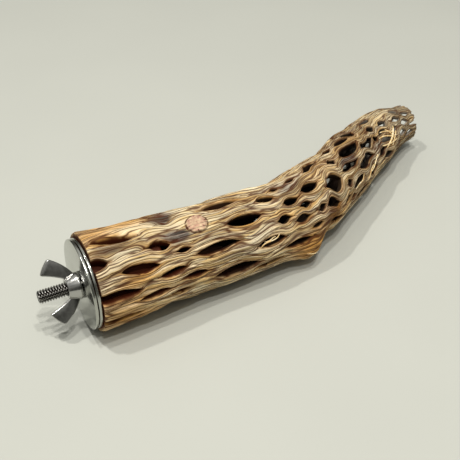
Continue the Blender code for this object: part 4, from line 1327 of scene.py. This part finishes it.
def washer_mesh(name, face, edge):
    """A wide flat washer from its front face backward, stamped edges rounded."""
    back = face + WASHER_THICKNESS
    corners = (
        (back, WASHER_HOLE_RADIUS),
        (back, WASHER_RADIUS),
        (face, WASHER_RADIUS),
        (face, WASHER_HOLE_RADIUS),
    )
    return lathe(name, rounded(corners, edge, CORNER_STEPS), WASHER_SIDES)


# What a step of the thread's formula may be, besides one of the math node's own operations, and
# the sockets that its values go to
BLENDS = {"RANGE": ("ShaderNodeMapRange", range(5)), "CHOICE": ("ShaderNodeMix", (0, 2, 3))}
# Each step makes one value from inputs and earlier steps: its name, what is done, and with what
THREAD_STEPS = (
    ("half", "MULTIPLY_ADD", "Length", 0.5, "Start"),
    ("x", "ADD", "Z", "half"),
    ("angle", "ARCTAN2", "Y", "X"),
    ("turns", "DIVIDE", "angle", 2.0 * math.pi),
    ("in thread", "MINIMUM", "x", "Change"),
    ("thread turns", "DIVIDE", "in thread", "Pitch"),
    ("past", "SUBTRACT", "x", "Change"),
    ("in screw", "MAXIMUM", "past", 0.0),
    ("screw turns", "DIVIDE", "in screw", "Screw Pitch"),
    ("all turns", "ADD", "thread turns", "screw turns"),
    ("phase", "SUBTRACT", "all turns", "turns"),
    ("wave", "PINGPONG", "phase", 0.5),
    ("cut", "RANGE", "wave", THREAD_CREST, THREAD_ROOT, 0.0, 1.0),
    ("is screw", "GREATER_THAN", "past", 0.0),
    ("crest", "CHOICE", "is screw", "Radius", "Screw Radius"),
    ("depth", "CHOICE", "is screw", "Depth", "Screw Depth"),
    ("sunk", "MULTIPLY", "cut", "depth"),
    ("thread radius", "SUBTRACT", "crest", "sunk"),
    ("from end", "SUBTRACT", "x", "Start"),
    ("chamfer", "RANGE", "from end", 0.0, STUD_CHAMFER, STUD_END_RADIUS, THREAD_RADIUS),
    ("point", "RANGE", "x", STUD_POINT - STUD_TAPER, STUD_POINT, THREAD_RADIUS, STUD_POINT_RADIUS),
    ("chamfered", "MINIMUM", "thread radius", "chamfer"),
    ("pointed", "MINIMUM", "chamfered", "point"),
    # The middle points of the two end faces stay on the axis.
    ("X squared", "MULTIPLY", "X", "X"),
    ("width", "MULTIPLY_ADD", "Y", "Y", "X squared"),
    ("off axis", "GREATER_THAN", "width", AXIS_WIDTH**2),
    ("radius", "MULTIPLY", "pointed", "off axis"),
    ("cosine", "COSINE", "angle"),
    ("sine", "SINE", "angle"),
    ("across", "MULTIPLY", "cosine", "radius"),
    ("upward", "MULTIPLY", "sine", "radius"),
)


def thread_tree(settings):
    """A threaded rod along X: a dense cylinder whose radius follows one helix, then a coarser one."""
    numbers = {
        "Start": STUD_FREE_END,
        "Length": STUD_POINT - STUD_SCREW_PITCH - STUD_FREE_END,
        "Radius": THREAD_RADIUS,
        "Pitch": THREAD_PITCH,
        "Depth": settings.thread_depth / MM,
        "Change": STUD_THREAD_END,
        "Screw Radius": STUD_SCREW_RADIUS,
        "Screw Pitch": STUD_SCREW_PITCH,
        "Screw Depth": STUD_SCREW_DEPTH,
    }
    inputs = [(key, "Float", value) for key, value in numbers.items()]
    tree = new_shape("threaded_rod", [*inputs, ("Finish", "Material", None)])
    add = partial(node, tree)
    given = add("NodeGroupInput").outputs
    sizes = {"Vertices": THREAD_SIDES, "Side Segments": THREAD_ROWS, "Radius": 1.0}
    ends = {"Depth": given["Length"]}
    rod = add("GeometryNodeMeshCylinder", {**sizes, **ends}, fill_type="TRIANGLE_FAN")
    unturned = add("ShaderNodeSeparateXYZ", {0: add("GeometryNodeInputPosition")}).outputs
    values = {socket.name: socket for socket in (*given, *unturned)}
    for name, operation, *parts in THREAD_STEPS:
        kind, sockets = BLENDS.get(operation, ("ShaderNodeMath", range(3)))
        links = {socket: values.get(part, part) for socket, part in zip(sockets, parts)}
        more = {} if operation in BLENDS else {"operation": operation}
        values[name] = add(kind, links, **more)
    place = {"X": values["x"], "Y": values["across"], "Z": values["upward"]}
    moved = add("ShaderNodeCombineXYZ", place)
    shaped = add("GeometryNodeSetPosition", {"Geometry": rod, "Position": moved})
    whole = add("GeometryNodeRealizeInstances", {"Geometry": shaped})
    # How far down the thread each point lies, for its painted shade
    mark = {"Geometry": whole, "Name": "groove", "Value": values["cut"]}
    marked = add("GeometryNodeStoreNamedAttribute", mark)
    done = add("GeometryNodeSetMaterial", {"Geometry": marked, "Material": given["Finish"]})
    add("NodeGroupOutput", {"Geometry": done})
    return tree


def bowed(start, end, bow, cut_first, cut_last):
    """Points of a wing's edge, bowed outward and stopping short of the corners that are rounded."""
    (x0, r0), (x1, r1) = start, end
    length = math.hypot(x1 - x0, r1 - r0)
    first = WING_CORNER / length if cut_first else 0.0
    last = 1.0 - WING_CORNER / length if cut_last else 1.0
    edge = []
    for k in range(WING_STEPS + 1):
        t = first + (last - first) * k / WING_STEPS
        off = bow * WING_SWELL * 4.0 * t * (1.0 - t)
        x = x0 + (x1 - x0) * t + off * (r1 - r0) / length
        r = r0 + (r1 - r0) * t - off * (x1 - x0) / length
        edge.append((x, r))
    return edge


def wing_outline():
    """A paddle in the plane of the axis: root, swept edge, round-cornered end and the edge back."""
    corners = (WING_ROOT_OUTER, WING_OUTER_CORNER, WING_INNER_CORNER, WING_ROOT_INNER)
    last = len(WING_BOWS) - 1
    points = []
    for k, bow in enumerate(WING_BOWS):
        edge = bowed(corners[k], corners[k + 1], bow, k > 0, k < last)
        if points:
            start, corner, end = Vector(points[-1]), Vector(corners[k]), Vector(edge[0])
            for j in range(1, WING_CORNER_STEPS):
                t = j / WING_CORNER_STEPS
                points.append(tuple(start.lerp(corner, t).lerp(corner.lerp(end, t), t)))
        points += edge
    return [*points, *WING_BURIED]


def wing_mesh(turn):
    """One wing, its outline thickened and its rim bevelled round."""
    bm = bmesh.new()
    half = WING_THICKNESS / 2
    outline = wing_outline()
    front, back = ([bm.verts.new((x, r, z)) for x, r in outline] for z in (half, -half))
    bm.faces.new(front)
    bm.faces.new(reversed(back))
    for k in range(len(outline)):
        bm.faces.new((front[k - 1], back[k - 1], back[k], front[k]))
    bmesh.ops.recalc_face_normals(bm, faces=bm.faces)
    rims = [e for e in bm.edges if abs(e.verts[0].co.z - e.verts[1].co.z) < NOTHING]
    bevel = {"offset": WING_EDGE, "segments": WING_EDGE_STEPS, "profile": 0.5}
    bmesh.ops.bevel(bm, geom=rims, affect="EDGES", clamp_overlap=True, **bevel)
    bmesh.ops.rotate(bm, cent=(0.0, 0.0, 0.0), matrix=Matrix.Rotation(turn, 3, "X"), verts=bm.verts)
    return mesh_from("wing", bm)


def united(name, base, others):
    """One mesh from several closed ones, by exact Boolean union."""
    target = linked(name, base)
    helpers = bpy.data.collections.new(name + "_joins")
    bpy.context.scene.collection.children.link(helpers)
    for mesh in others:
        linked(mesh.name, mesh, helpers)
    union = target.modifiers.new("join", "BOOLEAN")
    union.operation = "UNION"
    union.operand_type = "COLLECTION"
    union.collection = helpers
    union.solver = "EXACT"
    graph = bpy.context.evaluated_depsgraph_get()
    made = bpy.data.meshes.new_from_object(target.evaluated_get(graph))
    target.modifiers.clear()
    for helper in list(helpers.objects) + [target]:
        bpy.data.objects.remove(helper, do_unlink=True)
    bpy.data.collections.remove(helpers)
    return smoothed(made, NUT_SHARP)


# ---- stage ----
def lamp(name, place, power):
    """A small square area light at a place, facing the perch."""
    light = bpy.data.lights.new(name, "AREA")
    light.shape = "RECTANGLE"
    light.size = light.size_y = LAMP_SIZE
    light.energy = power
    light.color = colour(LAMP_TINT)[:3]
    made = linked(name, light)
    made.location = place
    made.rotation_euler = (-Vector(place)).to_track_quat("-Z", "Y").to_euler()


def studio_room(settings):
    """A pale ceiling over dark walls, which is what the steel mirrors."""
    world = bpy.data.worlds.new("studio_room")
    world.use_nodes = True
    tree = world.node_tree
    tree.nodes.clear()
    add = partial(node, tree)
    toward = add("ShaderNodeTexCoord").outputs["Generated"]
    upward = add("ShaderNodeSeparateXYZ", {0: toward}).outputs["Z"]
    stops = ((0.05, settings.walls), (0.45, settings.walls), (0.85, settings.ceiling))
    shade = add("ShaderNodeValToRGB", {"Fac": upward}, stops)
    uneven = add("ShaderNodeTexNoise", {"Vector": toward, "Scale": ROOM_PATCHES, "Detail": 1.0})
    ends = (0.35, 0.65, ROOM_LEAST * settings.sky, ROOM_MOST * settings.sky)
    strength = add("ShaderNodeMapRange", dict(enumerate((uneven, *ends))))
    light = add("ShaderNodeBackground", {"Color": shade, "Strength": strength})
    add("ShaderNodeOutputWorld", {"Surface": light})
    return world


def paper_floor(settings):
    """The sheet of paper that the perch lies on."""
    bm = bmesh.new()
    bmesh.ops.create_grid(bm, x_segments=FLOOR_CELLS, y_segments=FLOOR_CELLS, size=FLOOR_HALF)
    mesh = mesh_from("paper_sweep", bm)
    mesh.materials.append(finish("pale_paper", pale_paper, settings.floor))
    return linked("paper_sweep", mesh)


def fitted_camera():
    """The camera that looks down on the perch from its side."""
    lens = bpy.data.cameras.new("camera")
    lens.sensor_width = CAMERA_SENSOR
    lens.lens = CAMERA_LENS
    lens.clip_start = CAMERA_NEAR
    camera = linked("camera", lens)
    camera.location = BOLT + Vector(CAMERA_PLACE) * MM
    camera.rotation_euler = Vector(CAMERA_DIRECTION).to_track_quat("-Z", "Y").to_euler()
    return camera


# ---- settings ----
def swatch(name, description, hex_code):
    """A colour setting."""
    limits = {"size": 4, "min": 0.0, "max": 1.0}
    default = colour(hex_code)
    return FloatVectorProperty(
        name=name, description=description, default=default, subtype="COLOR", **limits
    )


def length(name, description, default):
    """A length setting, its default given in mm."""
    default *= MM
    return FloatProperty(
        name=name, description=description, default=default, precision=5, unit="LENGTH"
    )


def watts(name, description, default):
    """A lamp's power."""
    return FloatProperty(name=name, description=description, default=default, unit="POWER")


class WoodSettings(bpy.types.PropertyGroup):
    """Sizes and colours of the stem, its loose fibres and its plug"""

    strand_depth: length("Strand depth", "Depth of the ropes of fibre", 0.68)
    ridge_depth: length("Ridge depth", "Depth of the fine ridges", 0.32)
    groove_depth: length("Groove depth", "Depth of the groove that runs on from an opening", 1.1)
    lip_radius: length("Lip radius", "Width of the rounding at an opening's edge", 0.8)
    lip_depth: length("Lip depth", "How far an opening's edge rolls inward", 0.6)
    pale: swatch("Pale", "Dry fibre crests", "#fbecc8")
    tan: swatch("Tan", "Most of the fibre", "#efd9ae")
    golden: swatch("Golden", "Sheltered fibre", "#e3c48a")
    brown: swatch("Brown", "Old fibre between strands", "#cfa66c")
    honey: swatch("Honey", "Fresh wood in sheltered patches", "#d69a48")
    hollow: swatch("Hollow", "Fibre at an opening's edge", "#c48a3e")
    # Colour of the fine dark lines between fibres and of the painted shade in creases
    crease: swatch("Crease", "Bottom of a crease", "#4a2008")
    grey: swatch("Grey", "Weathered fibre", "#9f978b")
    dark_grey: swatch("Dark grey", "Weathered hollows", "#48423c")
    pith: swatch("Pith", "Branch scar", "#bd917c")
    # Reddish brown of the scar's pits, and of the painted shade in the bore by the washers and on the
    # plug
    red: swatch("Red", "Bore by the washers and pits of the scar", "#4a1c08")
    # Painted shade of the bore further along, nearly black
    dark: swatch("Dark", "Bore further along", "#140803")
    # The dowel's reddish brown, painted darker for the shade inside the stem
    plug: swatch("Plug", "Turned dowel", "#5c2a12")


class ClampSettings(bpy.types.PropertyGroup):
    """Sizes and colours of the washers, the stud and the wing nut"""

    thread_depth: length("Thread depth", "Depth of the machine thread", 0.68)
    washer_edge: length("Washer edge", "Rounding of a washer's edge", 0.42)
    washer: swatch("Washers", "Polished steel", "#b2b3ac")
    nut: swatch("Wing nut", "Bright plating", "#b2b1ae")
    # Painted shade at the bottom of the stud's thread
    groove: swatch("Groove", "Bottom of the stud's thread", "#1c1815")
    stud: swatch("Stud", "Zinc plating", "#b4b2ad")


class StageSettings(bpy.types.PropertyGroup):
    """Light and colours of the stage"""

    floor: swatch("Floor", "Paper sweep", "#b9bab2")
    overhead_power: watts("Overhead", "Power of the lamp overhead", 4.6)
    front_power: watts("Front", "Power of each of the two front lamps", 4.6)
    back_power: watts("Back", "Power of the lamp at the back left", 5.6)
    sky: FloatProperty(name="Sky", description="Strength of the room's light", default=0.62)
    walls: swatch("Walls", "Dark walls of the room", "#74746e")
    ceiling: swatch("Ceiling", "Pale ceiling of the room", "#f4f4ee")


# ---- operators ----
class PERCH_OT_stem(bpy.types.Operator):
    """Builds the netted wood stem"""

    bl_idname = "perch.stem"
    bl_label = "Stem"

    def execute(self, context):
        settings = context.scene.perch_wood
        wood = finish("weathered_cholla_wood", weathered_wood, settings)
        placed("weathered_stem", wood_mesh(settings), "root", "cholla_skeleton", wood)
        return {"FINISHED"}


class PERCH_OT_loose_fibres(bpy.types.Operator):
    """Builds the thin fibres that stand free of the stem"""

    bl_idname = "perch.loose_fibres"
    bl_label = "Loose fibres"

    def execute(self, context):
        dry = finish("dry_cholla_fibre", dry_fibre, context.scene.perch_wood)
        mesh = grown("loose_fibres", fibre_tree(), {"Finish": dry}, fibre_paths())
        placed("loose_fibres", mesh, "root", look=dry)
        return {"FINISHED"}


class PERCH_OT_plug(bpy.types.Operator):
    """Builds the turned plug inside the thick end"""

    bl_idname = "perch.plug"
    bl_label = "Plug"

    def execute(self, context):
        front, back = WOOD_END, WOOD_END + PLUG_LENGTH
        profile = (
            (back, 0.0),
            (back, PLUG_RADIUS - PLUG_CHAMFER),
            (back - PLUG_CHAMFER, PLUG_RADIUS),
            (front, PLUG_RADIUS),
            (front, PLUG_BORE_RADIUS),
            (STUD_THREAD_END + PLUG_BORE_END[0], PLUG_BORE_RADIUS),
            (STUD_THREAD_END + PLUG_BORE_END[1], PLUG_PILOT_RADIUS),
            (STUD_POINT, PLUG_PILOT_RADIUS),
            (STUD_POINT + PLUG_PILOT_POINT, 0.0),
        )
        mesh = lathe("turned_plug", profile, PLUG_SIDES, closed=False)
        dowel = finish("darkened_beech_dowel", turned_wood, context.scene.perch_wood)
        placed("turned_plug", mesh, "root", "end_plug", dowel)
        return {"FINISHED"}


class PERCH_OT_stud(bpy.types.Operator):
    """Builds the threaded hanger stud"""

    bl_idname = "perch.stud"
    bl_label = "Stud"

    def execute(self, context):
        settings = context.scene.perch_clamp
        tints = settings.stud, *STUD_GLOSS, settings.groove
        zinc = finish("bright_zinc_plated_steel", bright_steel, *tints)
        mesh = grown("threaded_stud", thread_tree(settings), {"Finish": zinc})
        placed("threaded_stud", mesh, "root", "hanger_stud", zinc)
        return {"FINISHED"}


class PERCH_OT_washers(bpy.types.Operator):
    """Builds the two wide washers"""

    bl_idname = "perch.washers"
    bl_label = "Washers"

    def execute(self, context):
        settings = context.scene.perch_clamp
        steel = finish("polished_stainless_steel", bright_steel, settings.washer, *WASHER_GLOSS)
        for name, solid, face, body in (
            ("front_washer", "outer_washer", OUTER_WASHER_FACE, "clamp_washer"),
            ("seat_washer", "inner_washer", INNER_WASHER_FACE, "root"),
        ):
            mesh = washer_mesh(name, face, settings.washer_edge / MM)
            placed(name, mesh, body, solid, steel)
        return {"FINISHED"}


class PERCH_OT_wing_nut(bpy.types.Operator):
    """Builds the wing nut"""

    bl_idname = "perch.wing_nut"
    bl_label = "Wing nut"

    def execute(self, context):
        settings = context.scene.perch_clamp
        base, top = -SEAT_GAP, -SEAT_GAP - NUT_HEIGHT
        corners = (
            (base, NUT_BORE_RADIUS),
            (base, NUT_BASE_RADIUS),
            (base - NUT_FOOT, NUT_BASE_RADIUS),
            (top, NUT_TOP_RADIUS),
            (top, NUT_BORE_RADIUS),
        )
        boss = lathe("nut_boss", rounded(corners, NUT_EDGE, NUT_CORNER_STEPS), NUT_SIDES)
        turns = [math.radians(90.0 - NUT_TURN + 180.0 * k) for k in range(2)]
        mesh = united("cast_wing_nut", boss, [wing_mesh(turn) for turn in turns])
        nickel = finish("bright_nickel_plated_steel", bright_steel, settings.nut, *NUT_GLOSS)
        placed("cast_wing_nut", mesh, "wing_nut", "wing_nut", nickel)
        return {"FINISHED"}


class PERCH_OT_stage(bpy.types.Operator):
    """Builds the floor, the light and the camera"""

    bl_idname = "perch.stage"
    bl_label = "Stage"

    def execute(self, context):
        settings = context.scene.perch_stage
        paper_floor(settings)
        for name, place, power in LAMPS:
            lamp(name, place, getattr(settings, power))
        context.scene.world = studio_room(settings)
        context.scene.camera = fitted_camera()
        context.scene.view_settings.view_transform = "Standard"
        return {"FINISHED"}


class PERCH_PT_panel(bpy.types.Panel):
    """Buttons for each piece of the perch"""

    bl_label = "Cholla Perch"
    bl_idname = "PERCH_PT_panel"
    bl_space_type = "VIEW_3D"
    bl_region_type = "UI"
    bl_category = "Cholla"

    def draw(self, context):
        for settings in (context.scene.perch_wood, context.scene.perch_clamp, context.scene.perch_stage):
            box = self.layout.box()
            for key in settings.__annotations__:
                box.prop(settings, key)
        for step in STEPS:
            self.layout.operator(step.bl_idname)


# ---- the add-on ----
STEPS = (
    PERCH_OT_stem,
    PERCH_OT_loose_fibres,
    PERCH_OT_plug,
    PERCH_OT_stud,
    PERCH_OT_washers,
    PERCH_OT_wing_nut,
    PERCH_OT_stage,
)
SETTINGS = {"perch_wood": WoodSettings, "perch_clamp": ClampSettings, "perch_stage": StageSettings}


def register():
    """Registers the settings, the operators and the panel."""
    for made in (*SETTINGS.values(), *STEPS, PERCH_PT_panel):
        bpy.utils.register_class(made)
    for name, group in SETTINGS.items():
        setattr(bpy.types.Scene, name, PointerProperty(type=group))


def unregister():
    """Takes the settings, the operators and the panel away again."""
    for name in SETTINGS:
        delattr(bpy.types.Scene, name)
    for made in (PERCH_PT_panel, *reversed(STEPS), *SETTINGS.values()):
        bpy.utils.unregister_class(made)


def main():
    """Builds everything."""
    register()
    bpy.ops.perch.stem()
    bpy.ops.perch.loose_fibres()
    bpy.ops.perch.plug()
    bpy.ops.perch.stud()
    bpy.ops.perch.washers()
    bpy.ops.perch.wing_nut()
    bpy.ops.perch.stage()


if __name__ == "__main__":
    main()
